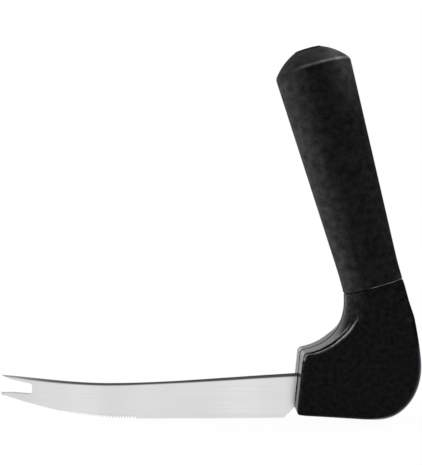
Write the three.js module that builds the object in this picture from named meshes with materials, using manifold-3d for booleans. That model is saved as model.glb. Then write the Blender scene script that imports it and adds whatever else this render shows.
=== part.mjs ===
// Upright-handled carving knife: a forked, part-toothed blade held in a two-half moulded handle, whose
// leaning post carries a soft grip sleeve. Millimetres, +Z up, blade pointing to -X.
// While the pieces are made, x = 0 is the handle's front face at the blade, y = 0 is the blade's middle
// plane and z = 0 is the lowest line of the cutting edge. The finished knife is then centred over that line.
import * as THREE from "three";
import { mergeVertices } from "three/addons/utils/BufferGeometryUtils.js";
import Module from "manifold-3d";

const wasm = await Module();
wasm.setup();

// Fits between the pieces, and how far a cut runs past what it cuts
const SEAT_GAP = 0.3;
const SIDE_GAP = 0.2;
const PARTING_GAP = 0.3;
const CUT_OVERLAP = 1;

// Blade blank
const BLADE_THICKNESS = 2;
const BLADE_REACH = 134.4;
const HEEL_SPINE_HEIGHT = 20.6;
const HEEL_SPINE_FALL = 2.7;
const SPINE_DIP_REACH = 86;
const SPINE_DIP_HEIGHT = 16.05;
const UPPER_TIP_HEIGHT = 19.8;
const UPPER_TIP_RISE = 4.8;
const UPPER_POINT_LENGTH = 4.4;
const LOWER_TIP_LEAD = 0.35;
const LOWER_TIP_HEIGHT = 11.8;
const LOWER_TIP_RISE = 18;
const LOWER_TIP_ROUND = 1.1;
const BELLY_REACH = 78;
const HEEL_REACH = 6.7;
const HEEL_RISE = 0.4;
const HEEL_EASE = 19;

// Fork at the tip
const FORK_DEPTH = 13.85;
const FORK_ROOT_HEIGHT = 13.73;
const FORK_ROOT_WIDTH = 4.94;
const FORK_MOUTH_HEIGHT = 14.94;
const FORK_MOUTH_WIDTH = 6.17;
const FORK_CORNER = 1.6;

// Cutting edge
const EDGE_THICKNESS = 0.3;
const BEVEL_HEIGHT = 2.2;
const TOOTH_PITCH = 1.37;
const TOOTH_COUNT = 25;
const TOOTH_DEPTH = 1;
const SHALLOW_TEETH = 9;
const SHALLOWEST_SHARE = 0.3;
const TOOTHED_FROM = 73.2;
const FLUTE_RADIUS = 0.3;
const FLUTE_TILT = 45;

// Tang and its two pins
const TANG_LENGTH = 36;
const TANG_THICKNESS = 1.6;
const TANG_LOWER_HEIGHT = 7.2;
const TANG_END_HEIGHT = 9;
const TANG_CORNER = 2;
const PIN_RADIUS = 2;
const PIN_COVER = 2.8;
const PIN_CHAMFER = 0.4;
const FRONT_PIN_SHARE = 0.27;
const REAR_PIN_SHARE = 0.76;

// Grip sleeve and the post inside it
const GRIP_LEAN = 15.4;
const SEAM_SETBACK = 34.01;
const SEAM_HEIGHT = 60.2;
const SEAM_HALF_WIDTH = 13.5;
const SEAM_HALF_DEPTH = 9.8;
const SEAM_SQUARENESS = 2.5;
const ROUND = 2;
const GRIP_LENGTH = 102.2;
const GRIP_FOOT_HALF_WIDTH = 13;
const FOOT_FLARE = 0.5;
const FLARE_HEIGHT = 12.6;
const GRIP_TOP_HALF_WIDTH = 17.45;
const GRIP_TOP_HALF_DEPTH = 12.4;
const CROWN_HEIGHT = 8.85;
const CROWN_FLAT_HALF_WIDTH = 6.75;
const CROWN_FLAT_HALF_DEPTH = 3.4;
const CROWN_FULLNESS = 1.8;
const CROWN_WALL = 7;
const SLEEVE_WALL = 3;
const POST_HALF_DEPTH = 6.6;
const POST_DRAFT = 0.4;
const POST_WALL = 2.2;

// Moulded body
const FRONT_LEAN = 6.2;
const FRONT_DATUM_HEIGHT = 20.4;
const BLOCK_HEIGHT = 31.1;
const BLOCK_TOP_SLOPE = 11.7;
const BLOCK_CORNER = 1.6;
const BASE_FRONT_HEIGHT = 3.7;
const BASE_SLOPE = 3.7;
const BASE_LENGTH = 38.6;
const BASE_CORNER = 2.7;
const BASE_ROUND = 2.4;
const BODY_DEPTH = 54.42;
const REARMOST_HEIGHT = 25.2;
const NECK_TURN = 12.9;
const NECK_PULL = 18.7;
const BLOCK_PULL = 7.3;
const REAR_SEAM_TURN = 11;
const REAR_SEAM_PULL = 6.2;
const REAR_UPPER_PULL = 7.6;
const REAR_LOWER_PULL = 17.1;
const BASE_PULL = 5.2;

// Raised cheeks, and the rim and channel in front of them
const CHEEK_HALF = 10.4;
const RIM_DROP = 1.5;
const FRONT_RIM_DROP = 0.5;
const RIM_ROUND = 0.4;
const CHANNEL_FRONT_FLOOR = 0.8;
const CHANNEL_TOP_FLOOR = 3.2;
const RIDGE_SHARE = 0.6;
const FACE_GROOVE = 0.15;
const FACE_SHOULDER_LENGTH = 1.2;
const REAR_ROUND_LENGTH = 4.5;
const REAR_ROUND_DEPTH = 6;
const OVAL_UNTIL = 0.15;
const CHEEKED_FROM = 0.55;
const CHANNEL_WIDE_UNTIL = 0.15;
const CHANNEL_NARROW_FROM = 0.62;
const STEEPEST_STRETCH = 2.6;
const REAR_AT_BLOCK = 0.47;
const REAR_AT_FACE = 0.51;
const REAR_AT_BASE = 0.8;

// Inside of the body
const BODY_WALL = 2.6;
const CORE_SQUARENESS = 5;
const RIB_THICKNESS = 1.6;
const RIB_SHARES = [0.45, 0.72];
const PEG_RADIUS = 1.5;
const PEG_LENGTH = 3;
const PEG_ROOT = 2;
const BOSS_WALL = 1.8;

// Post screws and end plug
const SCREW_RADIUS = 1.4;
const SCREW_TIP_LENGTH = 1.5;
const SCREW_HEAD_RADIUS = 2.7;
const SCREW_HEAD_HEIGHT = 1.7;
const SCREW_HEAD_SINK = 0.6;
const SCREW_SLOT_WIDTH = 0.7;
const SCREW_SLOT_DEPTH = 0.8;
const LOWER_SCREW_SHARE = 0.22;
const UPPER_SCREW_SHARE = 0.7;
const PLUG_HEAD_HALF_WIDTH = 6.2;
const PLUG_HEAD_HALF_DEPTH = 2.8;
const PLUG_HEAD_HEIGHT = 0.8;
const PLUG_HEAD_CHAMFER = 0.3;
const PLUG_SINK = 0.55;
const PLUG_STEM_RADIUS = 1.8;
const PLUG_STEM_GRIP = 10;
const PLUG_BARB = 0.3;
const PLUG_BARB_COUNT = 3;

// Fineness of the curved surfaces
const RING_SIDES = 32;
const PIN_SIDES = 16;
const FLUTE_SIDES = 8;
const CURVE_STEPS = 12;
const EDGE_STEPS = 24;
const GULLET_STEPS = 6;
const FLARE_STEPS = 3;
const GRIP_STEPS = 5;
const CROWN_STEPS = 7;
const ARC_STEPS = 4;
const NECK_STEPS = 16;
const CORNER_STEPS = 3;
const FACE_STEPS = 5;
const BASE_STEPS = 8;
const BACK_STEPS = 2;
const CHEEK_STEPS = 6;
const RIM_STEPS = 3;

// Pull at each end of a smooth run, as a share of its span
const EVEN_PULL = 1 / 3;

// Finishes
const STEEL = { color: 0xd2d3d4, roughness: 0.34, metalness: 1 };
const PLASTIC = { color: 0x161617, roughness: 0.42, metalness: 0 };
const RUBBER = { color: 0x262627, roughness: 0.85, metalness: 0 };
const PLUG_PLASTIC = { color: 0x0f0f10, roughness: 0.5, metalness: 0 };
const FASTENER = { color: 0xb4b6b8, roughness: 0.4, metalness: 1 };

const { clamp, degToRad, radToDeg, lerp, smoothstep } = THREE.MathUtils;

// A direction in the knife's own plane, from its angle above +X.
function heading(degrees) {
  return new THREE.Vector2(Math.cos(degToRad(degrees)), Math.sin(degToRad(degrees)));
}

function moved(point, direction, distance) {
  return point.clone().addScaledVector(direction, distance);
}

// Turns a direction of the plane by a right angle, to its left.
function leftOf(direction) {
  return new THREE.Vector2(-direction.y, direction.x);
}

function curvePath(curves) {
  const path = new THREE.CurvePath();
  path.curves = curves;
  return path;
}

// Numbers spread evenly from 0 to 1.
function shares(steps) {
  return Array.from({ length: steps + 1 }, (_, step) => step / steps);
}

// A closed geometry as a solid, turned right side out and without its empty triangles.
function solidOf(geometry) {
  const bare = geometry.clone();
  bare.deleteAttribute("normal");
  bare.deleteAttribute("uv");
  const merged = mergeVertices(bare);
  const vertProperties = new Float32Array(merged.attributes.position.array);
  const kept = [];
  const corners = merged.index.array;
  for (let i = 0; i < corners.length; i += 3) {
    const [a, b, c] = corners.slice(i, i + 3);
    if (a !== b && b !== c && c !== a) kept.push([a, b, c]);
  }
  const make = (triangles) =>
    new wasm.Manifold(
      new wasm.Mesh({ numProp: 3, vertProperties, triVerts: new Uint32Array(triangles.flat()) }),
    );
  const solid = make(kept);
  return solid.volume() > 0 ? solid : make(kept.map(([a, b, c]) => [a, c, b]));
}

function geometryOf(solid) {
  const mesh = solid.getMesh();
  const geometry = new THREE.BufferGeometry();
  geometry.setAttribute("position", new THREE.Float32BufferAttribute(mesh.vertProperties, mesh.numProp));
  geometry.setIndex(Array.from(mesh.triVerts));
  const faceted = geometry.toNonIndexed();
  faceted.computeVertexNormals();
  return faceted;
}

function joined(solids) {
  return solids.reduce((whole, solid) => whole.add(solid));
}

// A closed skin over a row of rings that all have the same number of points.
function loft(rings) {
  const sides = rings[0].length;
  const points = rings.flat();
  for (const ring of [rings[0], rings[rings.length - 1]]) {
    const sum = ring.reduce((total, point) => total.add(point), new THREE.Vector3());
    points.push(sum.divideScalar(sides));
  }
  const lastRing = (rings.length - 1) * sides;
  const firstMiddle = lastRing + sides;
  const triangles = [];
  for (let side = 0; side < sides; side += 1) {
    const next = (side + 1) % sides;
    for (let ring = 0; ring < lastRing; ring += sides) {
      triangles.push(ring + side, ring + next, ring + sides + side);
      triangles.push(ring + next, ring + sides + next, ring + sides + side);
    }
    triangles.push(firstMiddle, next, side);
    triangles.push(firstMiddle + 1, lastRing + side, lastRing + next);
  }
  const geometry = new THREE.BufferGeometry().setFromPoints(points);
  geometry.setIndex(triangles);
  return solidOf(geometry);
}

// A flat outline in the knife's plane, with thickness along Y.
function plate(shape, yLow, yHigh) {
  const depth = yHigh - yLow;
  const options = { depth, bevelEnabled: false, curveSegments: CURVE_STEPS };
  const geometry = new THREE.ExtrudeGeometry(shape, options);
  geometry.rotateX(Math.PI / 2);
  geometry.translate(0, yHigh, 0);
  return solidOf(geometry);
}

function block(low, high) {
  const size = high.clone().sub(low);
  const geometry = new THREE.BoxGeometry(size.x, size.y, size.z);
  geometry.translate((low.x + high.x) / 2, (low.y + high.y) / 2, (low.z + high.z) / 2);
  return solidOf(geometry);
}

// A round bar across the knife, through a point of its plane.
function crossBar(point, radius, yLow, yHigh) {
  const geometry = new THREE.CylinderGeometry(radius, radius, yHigh - yLow, PIN_SIDES);
  geometry.translate(point.x, (yLow + yHigh) / 2, point.y);
  return solidOf(geometry);
}

// A turned piece that lies across the knife: its profile gives radius and place along Y.
function turnedAcross(point, profile) {
  const geometry = new THREE.LatheGeometry(profile, PIN_SIDES);
  geometry.translate(point.x, 0, point.y);
  return solidOf(geometry);
}

// The point of a superellipse that lies in the direction of an angle, for half axes of one.
function onOval(angle, squareness) {
  const across = Math.cos(angle);
  const along = Math.sin(angle);
  const sum = Math.abs(across) ** squareness + Math.abs(along) ** squareness;
  return new THREE.Vector2(across, along).multiplyScalar(sum ** (-1 / squareness));
}

function ovalRing(centre, across, halfWidth, halfDepth, squareness) {
  return Array.from({ length: RING_SIDES }, (_, side) => {
    const point = onOval((side / RING_SIDES) * 2 * Math.PI, squareness);
    const inPlane = moved(centre, across, point.x * halfWidth);
    return new THREE.Vector3(inPlane.x, point.y * halfDepth, inPlane.y);
  });
}

// Grip frame: up its axis, across it from front to rear, and heights measured from the seam.
const gripUp = heading(90 + GRIP_LEAN);
const gripAcross = heading(GRIP_LEAN);
const seamCentre = new THREE.Vector2(SEAM_SETBACK, SEAM_HEIGHT);
const seamFront = moved(seamCentre, gripAcross, -SEAM_HALF_WIDTH);
const seamRear = moved(seamCentre, gripAcross, SEAM_HALF_WIDTH);
const gripFoot = moved(seamFront, gripAcross, FOOT_FLARE + GRIP_FOOT_HALF_WIDTH);
const crownTop = GRIP_LENGTH + CROWN_HEIGHT;
const postLength = crownTop - CROWN_WALL;
const postHalfWidth = GRIP_FOOT_HALF_WIDTH - SLEEVE_WALL - SEAT_GAP;

function gripRing(height, halfWidth, halfDepth, squareness) {
  return ovalRing(moved(gripFoot, gripUp, height), gripAcross, halfWidth, halfDepth, squareness);
}

// A turned piece on the grip's axis: its profile gives radius and height above the seam.
function turnedOnGrip(profile) {
  const geometry = new THREE.LatheGeometry(profile, PIN_SIDES);
  geometry.rotateX(Math.PI / 2);
  geometry.rotateY(-degToRad(GRIP_LEAN));
  geometry.translate(gripFoot.x, 0, gripFoot.y);
  return solidOf(geometry);
}

function postDraft(height) {
  return height * Math.tan(degToRad(POST_DRAFT));
}

// The post's outer skin between two heights, grown or shrunk by a margin.
function postSkin(low, high, margin) {
  const rings = [low, high].map((height) => {
    const draft = postDraft(height);
    const halfWidth = postHalfWidth - draft + margin;
    return gripRing(height, halfWidth, POST_HALF_DEPTH - draft + margin, SEAM_SQUARENESS);
  });
  return loft(rings);
}

// Blade
const lowerReach = BLADE_REACH + LOWER_TIP_LEAD;

function spineCurves() {
  const heel = new THREE.Vector2(0, HEEL_SPINE_HEIGHT);
  const dip = new THREE.Vector2(-SPINE_DIP_REACH, SPINE_DIP_HEIGHT);
  const tip = new THREE.Vector2(-BLADE_REACH, UPPER_TIP_HEIGHT);
  const rearPull = SPINE_DIP_REACH * EVEN_PULL;
  const frontPull = (BLADE_REACH - SPINE_DIP_REACH) * EVEN_PULL;
  const heelPull = moved(heel, heading(180 + HEEL_SPINE_FALL), rearPull);
  const tipPull = moved(tip, heading(-UPPER_TIP_RISE), frontPull);
  return [
    new THREE.CubicBezierCurve(heel, heelPull, moved(dip, heading(0), rearPull), dip),
    new THREE.CubicBezierCurve(dip, moved(dip, heading(180), frontPull), tipPull, tip),
  ];
}

function edgeCurves() {
  const heel = new THREE.Vector2(-HEEL_REACH, HEEL_RISE);
  const belly = new THREE.Vector2(-BELLY_REACH, 0);
  const tip = new THREE.Vector2(LOWER_TIP_ROUND - lowerReach, LOWER_TIP_HEIGHT - LOWER_TIP_ROUND);
  const eased = new THREE.Vector2(-HEEL_REACH - HEEL_EASE, 0);
  const frontPull = (lowerReach - BELLY_REACH) * EVEN_PULL;
  const tipPull = moved(tip, heading(-LOWER_TIP_RISE), frontPull);
  return [
    new THREE.QuadraticBezierCurve(heel, eased, belly),
    new THREE.CubicBezierCurve(belly, moved(belly, heading(180), frontPull), tipPull, tip),
  ];
}

// A point above the cutting edge, at a distance along it from the heel.
function aboveEdge(edge, distance, rise) {
  const share = distance / edge.getLength();
  const inward = leftOf(edge.getTangentAt(share)).negate();
  return { point: moved(edge.getPointAt(share), inward, rise), inward };
}

// How deep the gullets are after a number of teeth from the heel: they run out towards the tip.
function gulletDepth(passed) {
  const share = clamp((TOOTH_COUNT - passed) / SHALLOW_TEETH, 0, 1);
  return TOOTH_DEPTH * lerp(SHALLOWEST_SHARE, 1, share);
}

// The edge's outline from heel to tip: plain, then toothed with round gullets, then plain again.
function edgeLine() {
  const edge = curvePath(edgeCurves());
  const start = TOOTHED_FROM - HEEL_REACH;
  const end = start + TOOTH_COUNT * TOOTH_PITCH;
  const plain = (from, to) =>
    shares(EDGE_STEPS / 2).map((share) => aboveEdge(edge, lerp(from, to, share), 0).point);
  const teeth = shares(TOOTH_COUNT * GULLET_STEPS).map((share) => {
    const passed = share * TOOTH_COUNT;
    const rise = gulletDepth(passed) * Math.abs(Math.sin(passed * Math.PI));
    return aboveEdge(edge, start + passed * TOOTH_PITCH, rise).point;
  });
  return [...plain(0, start), ...teeth.slice(1, -1), ...plain(end, edge.getLength())];
}

// Where the cut-back heel corner meets the tang's lower edge.
const heelTurn = TANG_LOWER_HEIGHT - HEEL_RISE - HEEL_REACH;

// Draws the tang from its lower front corner round to its upper front corner, grown by a clearance.
function drawTang(shape, grow) {
  const low = TANG_LOWER_HEIGHT - grow;
  const endTop = TANG_LOWER_HEIGHT + TANG_END_HEIGHT + grow;
  const end = TANG_LENGTH + grow;
  shape.lineTo(end - TANG_CORNER, low);
  shape.quadraticCurveTo(end, low, end, low + TANG_CORNER);
  shape.lineTo(end, endTop - TANG_CORNER);
  shape.quadraticCurveTo(end, endTop, end - TANG_CORNER, endTop);
  shape.lineTo(0, HEEL_SPINE_HEIGHT + grow);
}

// The tang's room in the handle, open through the front face.
function tangRoom(grow) {
  const shape = new THREE.Shape();
  const low = TANG_LOWER_HEIGHT - grow;
  shape.moveTo(-HEEL_REACH, HEEL_SPINE_HEIGHT + grow);
  shape.lineTo(-HEEL_REACH, low - HEEL_REACH - heelTurn);
  shape.lineTo(heelTurn, low);
  drawTang(shape, grow);
  shape.closePath();
  return shape;
}

function pinPlaces() {
  const height = TANG_LOWER_HEIGHT + TANG_END_HEIGHT / 2;
  return [FRONT_PIN_SHARE, REAR_PIN_SHARE].map((share) => new THREE.Vector2(TANG_LENGTH * share, height));
}

function drawFork(shape) {
  const root = FORK_DEPTH - BLADE_REACH;
  const mouth = UPPER_POINT_LENGTH - BLADE_REACH;
  const rootTop = FORK_ROOT_HEIGHT + FORK_ROOT_WIDTH / 2;
  const rootLow = FORK_ROOT_HEIGHT - FORK_ROOT_WIDTH / 2;
  shape.lineTo(mouth, FORK_MOUTH_HEIGHT + FORK_MOUTH_WIDTH / 2);
  shape.lineTo(root - FORK_CORNER, rootTop);
  shape.quadraticCurveTo(root, rootTop, root, rootTop - FORK_CORNER);
  shape.lineTo(root, rootLow + FORK_CORNER);
  shape.quadraticCurveTo(root, rootLow, root - FORK_CORNER, rootLow);
  shape.lineTo(mouth, FORK_MOUTH_HEIGHT - FORK_MOUTH_WIDTH / 2);
}

function bladeShape() {
  const edge = edgeLine().toReversed();
  const edgeEnd = edge[0];
  const tipTop = FORK_MOUTH_HEIGHT - FORK_MOUTH_WIDTH / 2;
  const shape = new THREE.Shape();
  shape.moveTo(heelTurn, TANG_LOWER_HEIGHT);
  drawTang(shape, 0);
  for (const { v1, v2, v3 } of spineCurves()) {
    shape.bezierCurveTo(v1.x, v1.y, v2.x, v2.y, v3.x, v3.y);
  }
  drawFork(shape);
  const tipLow = edgeEnd.y + LOWER_TIP_ROUND * Math.tan(degToRad(LOWER_TIP_RISE));
  shape.quadraticCurveTo(-lowerReach, tipTop, -lowerReach, LOWER_TIP_HEIGHT);
  shape.quadraticCurveTo(-lowerReach, tipLow, edgeEnd.x, edgeEnd.y);
  for (const { x, y } of edge.slice(1)) {
    shape.lineTo(x, y);
  }
  shape.closePath();
  for (const place of pinPlaces()) {
    shape.holes.push(new THREE.Path().absarc(place.x, place.y, PIN_RADIUS + SIDE_GAP, 0, 2 * Math.PI, true));
  }
  return shape;
}

// What the grinding wheel takes off one side, along the whole edge.
function bevelCut(side) {
  const edge = curvePath(edgeCurves());
  const slope = (BLADE_THICKNESS - EDGE_THICKNESS) / 2 / BEVEL_HEIGHT;
  const outside = BLADE_THICKNESS / 2 + CUT_OVERLAP;
  const wheel = [
    [BEVEL_HEIGHT, BLADE_THICKNESS / 2],
    [-CUT_OVERLAP, EDGE_THICKNESS / 2 - slope * CUT_OVERLAP],
    [-CUT_OVERLAP, outside],
    [BEVEL_HEIGHT, outside],
  ];
  const rings = shares(EDGE_STEPS).map((share) =>
    wheel.map(([rise, offset]) => {
      const { point } = aboveEdge(edge, share * edge.getLength(), rise);
      return new THREE.Vector3(point.x, side * offset, point.y);
    }),
  );
  return loft(rings);
}

// Tilted flutes ground into the near side, each running up from the root of a gullet.
function fluteCuts() {
  const edge = curvePath(edgeCurves());
  const start = TOOTHED_FROM - HEEL_REACH;
  const tilt = degToRad(FLUTE_TILT);
  const reach = BLADE_THICKNESS / Math.sin(tilt) + FLUTE_RADIUS / Math.tan(tilt);
  const flutes = Array.from({ length: TOOTH_COUNT }, (_, tooth) => {
    const passed = tooth + 0.5;
    const root = gulletDepth(passed) - FLUTE_RADIUS;
    const { point, inward } = aboveEdge(edge, start + passed * TOOTH_PITCH, root);
    const axis = new THREE.Vector3(inward.x, -Math.tan(tilt), inward.y).normalize();
    const flute = new THREE.CylinderGeometry(FLUTE_RADIUS, FLUTE_RADIUS, 2 * reach, FLUTE_SIDES);
    flute.applyQuaternion(new THREE.Quaternion().setFromUnitVectors(THREE.Object3D.DEFAULT_UP, axis));
    flute.translate(point.x, 0, point.y);
    return solidOf(flute);
  });
  return joined(flutes);
}

// What is milled off one side of the tang, up to a shoulder just in front of the handle.
function tangRelief(side) {
  const shoulder = (height) => moved(frontFacePoint(height), heading(180 - FRONT_LEAN), SEAT_GAP);
  const end = TANG_LENGTH + CUT_OVERLAP;
  const outline = new THREE.Shape([
    shoulder(0),
    new THREE.Vector2(end, 0),
    new THREE.Vector2(end, BLOCK_HEIGHT),
    shoulder(BLOCK_HEIGHT),
  ]);
  const near = TANG_THICKNESS / 2;
  const far = BLADE_THICKNESS / 2 + CUT_OVERLAP;
  return side > 0 ? plate(outline, near, far) : plate(outline, -far, -near);
}

function blade() {
  const blank = plate(bladeShape(), -BLADE_THICKNESS / 2, BLADE_THICKNESS / 2);
  const bothSides = [1, -1].flatMap((side) => [bevelCut(side), tangRelief(side)]);
  return [...bothSides, fluteCuts()].reduce((rest, cut) => rest.subtract(cut), blank);
}

// Body outline. The front runs from the seam down the neck, over the block and down the front face to the
// base, and the rear runs from the seam down the back and round to the rear end of the base.
function frontFacePoint(height) {
  return new THREE.Vector2((height - FRONT_DATUM_HEIGHT) * Math.tan(degToRad(FRONT_LEAN)), height);
}

const gripTaper = radToDeg(Math.atan2(GRIP_TOP_HALF_WIDTH - GRIP_FOOT_HALF_WIDTH, GRIP_LENGTH));
const baseAlong = heading(-BASE_SLOPE);
const baseFront = frontFacePoint(BASE_FRONT_HEIGHT);
const baseRear = moved(baseFront, baseAlong, BASE_LENGTH);

// Each run of the front, with its steps and the share of the rear's length that it has passed at its end.
function frontRuns() {
  const corner = frontFacePoint(BLOCK_HEIGHT);
  const topAlong = heading(BLOCK_TOP_SLOPE);
  const topEnd = moved(corner, topAlong, BLOCK_CORNER);
  const faceTop = frontFacePoint(BLOCK_HEIGHT - BLOCK_CORNER);
  const faceEnd = frontFacePoint(BASE_FRONT_HEIGHT + BASE_CORNER);
  const baseStart = moved(baseFront, baseAlong, BASE_CORNER);
  const neckPull = moved(seamFront, heading(GRIP_LEAN + gripTaper - 90 - NECK_TURN), NECK_PULL);
  const blockPull = moved(topEnd, topAlong, BLOCK_PULL);
  return [
    {
      curve: new THREE.CubicBezierCurve(seamFront, neckPull, blockPull, topEnd),
      steps: NECK_STEPS,
      rearShare: REAR_AT_BLOCK,
    },
    {
      curve: new THREE.QuadraticBezierCurve(topEnd, corner, faceTop),
      steps: CORNER_STEPS,
      rearShare: REAR_AT_FACE,
    },
    {
      curve: new THREE.LineCurve(faceTop, faceEnd),
      steps: FACE_STEPS,
      rearShare: REAR_AT_BASE,
    },
    {
      curve: new THREE.QuadraticBezierCurve(faceEnd, baseFront, baseStart),
      steps: BASE_STEPS,
      rearShare: 1,
    },
  ];
}

function rearPath() {
  const rearmost = new THREE.Vector2(BODY_DEPTH, REARMOST_HEIGHT);
  const seamPull = moved(seamRear, heading(GRIP_LEAN - gripTaper - 90 + REAR_SEAM_TURN), REAR_SEAM_PULL);
  const upperPull = moved(rearmost, heading(90), REAR_UPPER_PULL);
  const lowerPull = moved(rearmost, heading(-90), REAR_LOWER_PULL);
  const basePull = moved(baseRear, baseAlong, BASE_PULL);
  return curvePath([
    new THREE.CubicBezierCurve(seamRear, seamPull, upperPull, rearmost),
    new THREE.CubicBezierCurve(rearmost, lowerPull, basePull, baseRear),
  ]);
}

// How much longer a rounding is when it is measured along a section that meets the outline at a slant.
function slantStretch(tangent, across) {
  const sine = Math.abs(tangent.x * across.y - tangent.y * across.x);
  return Math.min(1 / sine, STEEPEST_STRETCH);
}

// Sections across the body from front to rear, from the seam down to the base.
function bodySections() {
  const rear = rearPath();
  const baseUp = leftOf(baseAlong);
  const sections = [];
  let rearFrom = 0;
  for (const [index, { curve, steps, rearShare }] of frontRuns().entries()) {
    const from = index === 0 ? 0 : 1;
    for (const share of shares(steps).slice(from)) {
      const along = lerp(rearFrom, rearShare, share);
      const front = curve.getPoint(share);
      const back = rear.getPointAt(along);
      const across = back.clone().sub(front).normalize();
      const centre = front.clone().lerp(back, 0.5);
      const rise = clamp(centre.clone().sub(baseFront).dot(baseUp), 0, BASE_ROUND);
      sections.push({
        front,
        back,
        across,
        centre,
        halfWidth: front.distanceTo(back) / 2,
        inFromFront: leftOf(curve.getTangent(share)),
        inFromBack: leftOf(rear.getTangentAt(along)).negate(),
        frontStretch: slantStretch(curve.getTangent(share), across),
        backStretch: slantStretch(rear.getTangentAt(along), across),
        down: index === 0 ? share : 1,
        facing: index === 0 ? 0 : smoothstep(index - 1 + share, 0, 1),
        fall: BASE_ROUND - Math.sqrt(BASE_ROUND ** 2 - (BASE_ROUND - rise) ** 2),
      });
    }
    rearFrom = rearShare;
  }
  return sections;
}

// Points of a quarter round, from its end at the angle to its end a right angle further on.
function quarterRound(centreX, centreY, radiusX, radiusY, angle) {
  return shares(ARC_STEPS).map((share) => {
    const turn = degToRad(angle + 90 * share);
    return new THREE.Vector2(centreX + radiusX * Math.cos(turn), centreY + radiusY * Math.sin(turn));
  });
}

// Points between two ends, without the ends.
function between(start, end, steps) {
  return shares(steps).slice(1, -1).map((share) => start.clone().lerp(end, share));
}

function ovalness(section) {
  return 1 - smoothstep(section.down, OVAL_UNTIL, CHEEKED_FROM);
}

function cheekDepth(section) {
  return lerp(CHEEK_HALF, SEAM_HALF_DEPTH, ovalness(section)) - section.fall;
}

// One side of a section, from the middle of the back round the cheek, ridge, channel and rim to the front.
// It is an oval at the seam and takes on the cheek's form down the neck.
function sectionSide(section) {
  const { halfWidth, frontStretch, backStretch } = section;
  const cheek = cheekDepth(section);
  const drop = lerp(RIM_DROP, FRONT_RIM_DROP, section.facing);
  const rim = cheek - drop;
  const ridge = drop * lerp(RIDGE_SHARE, 1, section.facing);
  const ridgeLength = lerp(ridge, FACE_SHOULDER_LENGTH, section.facing);
  const rimLength = RIM_ROUND * frontStretch;
  const narrowing = smoothstep(section.down, CHANNEL_WIDE_UNTIL, CHANNEL_NARROW_FROM);
  const channel = lerp(CHANNEL_TOP_FLOOR, CHANNEL_FRONT_FLOOR, narrowing);
  const floor = lerp(channel, FACE_GROOVE, section.facing) * frontStretch;
  const ridgeFoot = rimLength + floor - halfWidth;
  const backLength = REAR_ROUND_LENGTH * backStretch;
  const backDepth = REAR_ROUND_DEPTH - section.fall;
  const backRound = quarterRound(halfWidth - backLength, cheek - backDepth, backLength, backDepth, 0);
  const ridgeRound = quarterRound(ridgeFoot + ridgeLength, cheek - ridge, ridgeLength, ridge, 90);
  const rimRound = quarterRound(rimLength - halfWidth, rim - RIM_ROUND, rimLength, RIM_ROUND, 90);
  const backMiddle = new THREE.Vector2(halfWidth, 0);
  const frontMiddle = new THREE.Vector2(-halfWidth, 0);
  const sharp = [
    backMiddle,
    ...between(backMiddle, backRound[0], BACK_STEPS),
    ...backRound,
    ...between(backRound.at(-1), ridgeRound[0], CHEEK_STEPS),
    ...ridgeRound,
    new THREE.Vector2(ridgeFoot, rim),
    ...rimRound,
    ...between(rimRound.at(-1), frontMiddle, RIM_STEPS),
    frontMiddle,
  ];
  return sharp.map((point) => {
    const angle = Math.atan2(point.y / cheek, point.x / halfWidth);
    const oval = onOval(angle, SEAM_SQUARENESS);
    return point.lerp(new THREE.Vector2(oval.x * halfWidth, oval.y * cheek), ovalness(section));
  });
}

function sectionRing(section) {
  const side = sectionSide(section);
  const otherSide = side.slice(1, -1).reverse();
  const place = (point, sign) => {
    const inPlane = moved(section.centre, section.across, point.x);
    return new THREE.Vector3(inPlane.x, sign * point.y, inPlane.y);
  };
  return [...side.map((point) => place(point, 1)), ...otherSide.map((point) => place(point, -1))];
}

// The hollow behind the body's wall, from below the seam to above the base.
function bodyHollow() {
  const sections = bodySections();
  const outline = sections.flatMap((section) => [section.front, section.back]);
  const clear = (point) => outline.every((other) => point.distanceTo(other) > BODY_WALL - SIDE_GAP);
  const rings = [];
  for (const section of sections) {
    const front = moved(section.front, section.inFromFront, BODY_WALL);
    const back = moved(section.back, section.inFromBack, BODY_WALL);
    const centre = front.clone().lerp(back, 0.5);
    const belowSeam = seamCentre.clone().sub(centre).dot(gripUp);
    const aboveBase = centre.clone().sub(baseFront).dot(leftOf(baseAlong));
    if (!clear(front) || !clear(back) || belowSeam < BODY_WALL || aboveBase < BODY_WALL) continue;
    const across = back.clone().sub(front).normalize();
    const halfWidth = front.distanceTo(back) / 2;
    const halfDepth = cheekDepth(section) - RIM_DROP - BODY_WALL;
    const squareness = lerp(CORE_SQUARENESS, ROUND, ovalness(section));
    rings.push(ovalRing(centre, across, halfWidth, halfDepth, squareness));
  }
  return loft(rings);
}

function pegPlaces() {
  return [
    new THREE.Vector2(TANG_LENGTH * FRONT_PIN_SHARE, (HEEL_SPINE_HEIGHT + BLOCK_HEIGHT) / 2),
    new THREE.Vector2((TANG_LENGTH + BODY_DEPTH) / 2, TANG_LOWER_HEIGHT + TANG_END_HEIGHT / 2),
    new THREE.Vector2(SEAM_SETBACK, (SEAM_HEIGHT + REARMOST_HEIGHT) / 2),
  ];
}

function screwPlaces() {
  return [LOWER_SCREW_SHARE, UPPER_SCREW_SHARE].map((share) => {
    const height = share * postLength;
    return { place: moved(gripFoot, gripUp, height), depth: POST_HALF_DEPTH - postDraft(height) };
  });
}

const halfBlock = CHEEK_HALF + CUT_OVERLAP;

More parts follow.
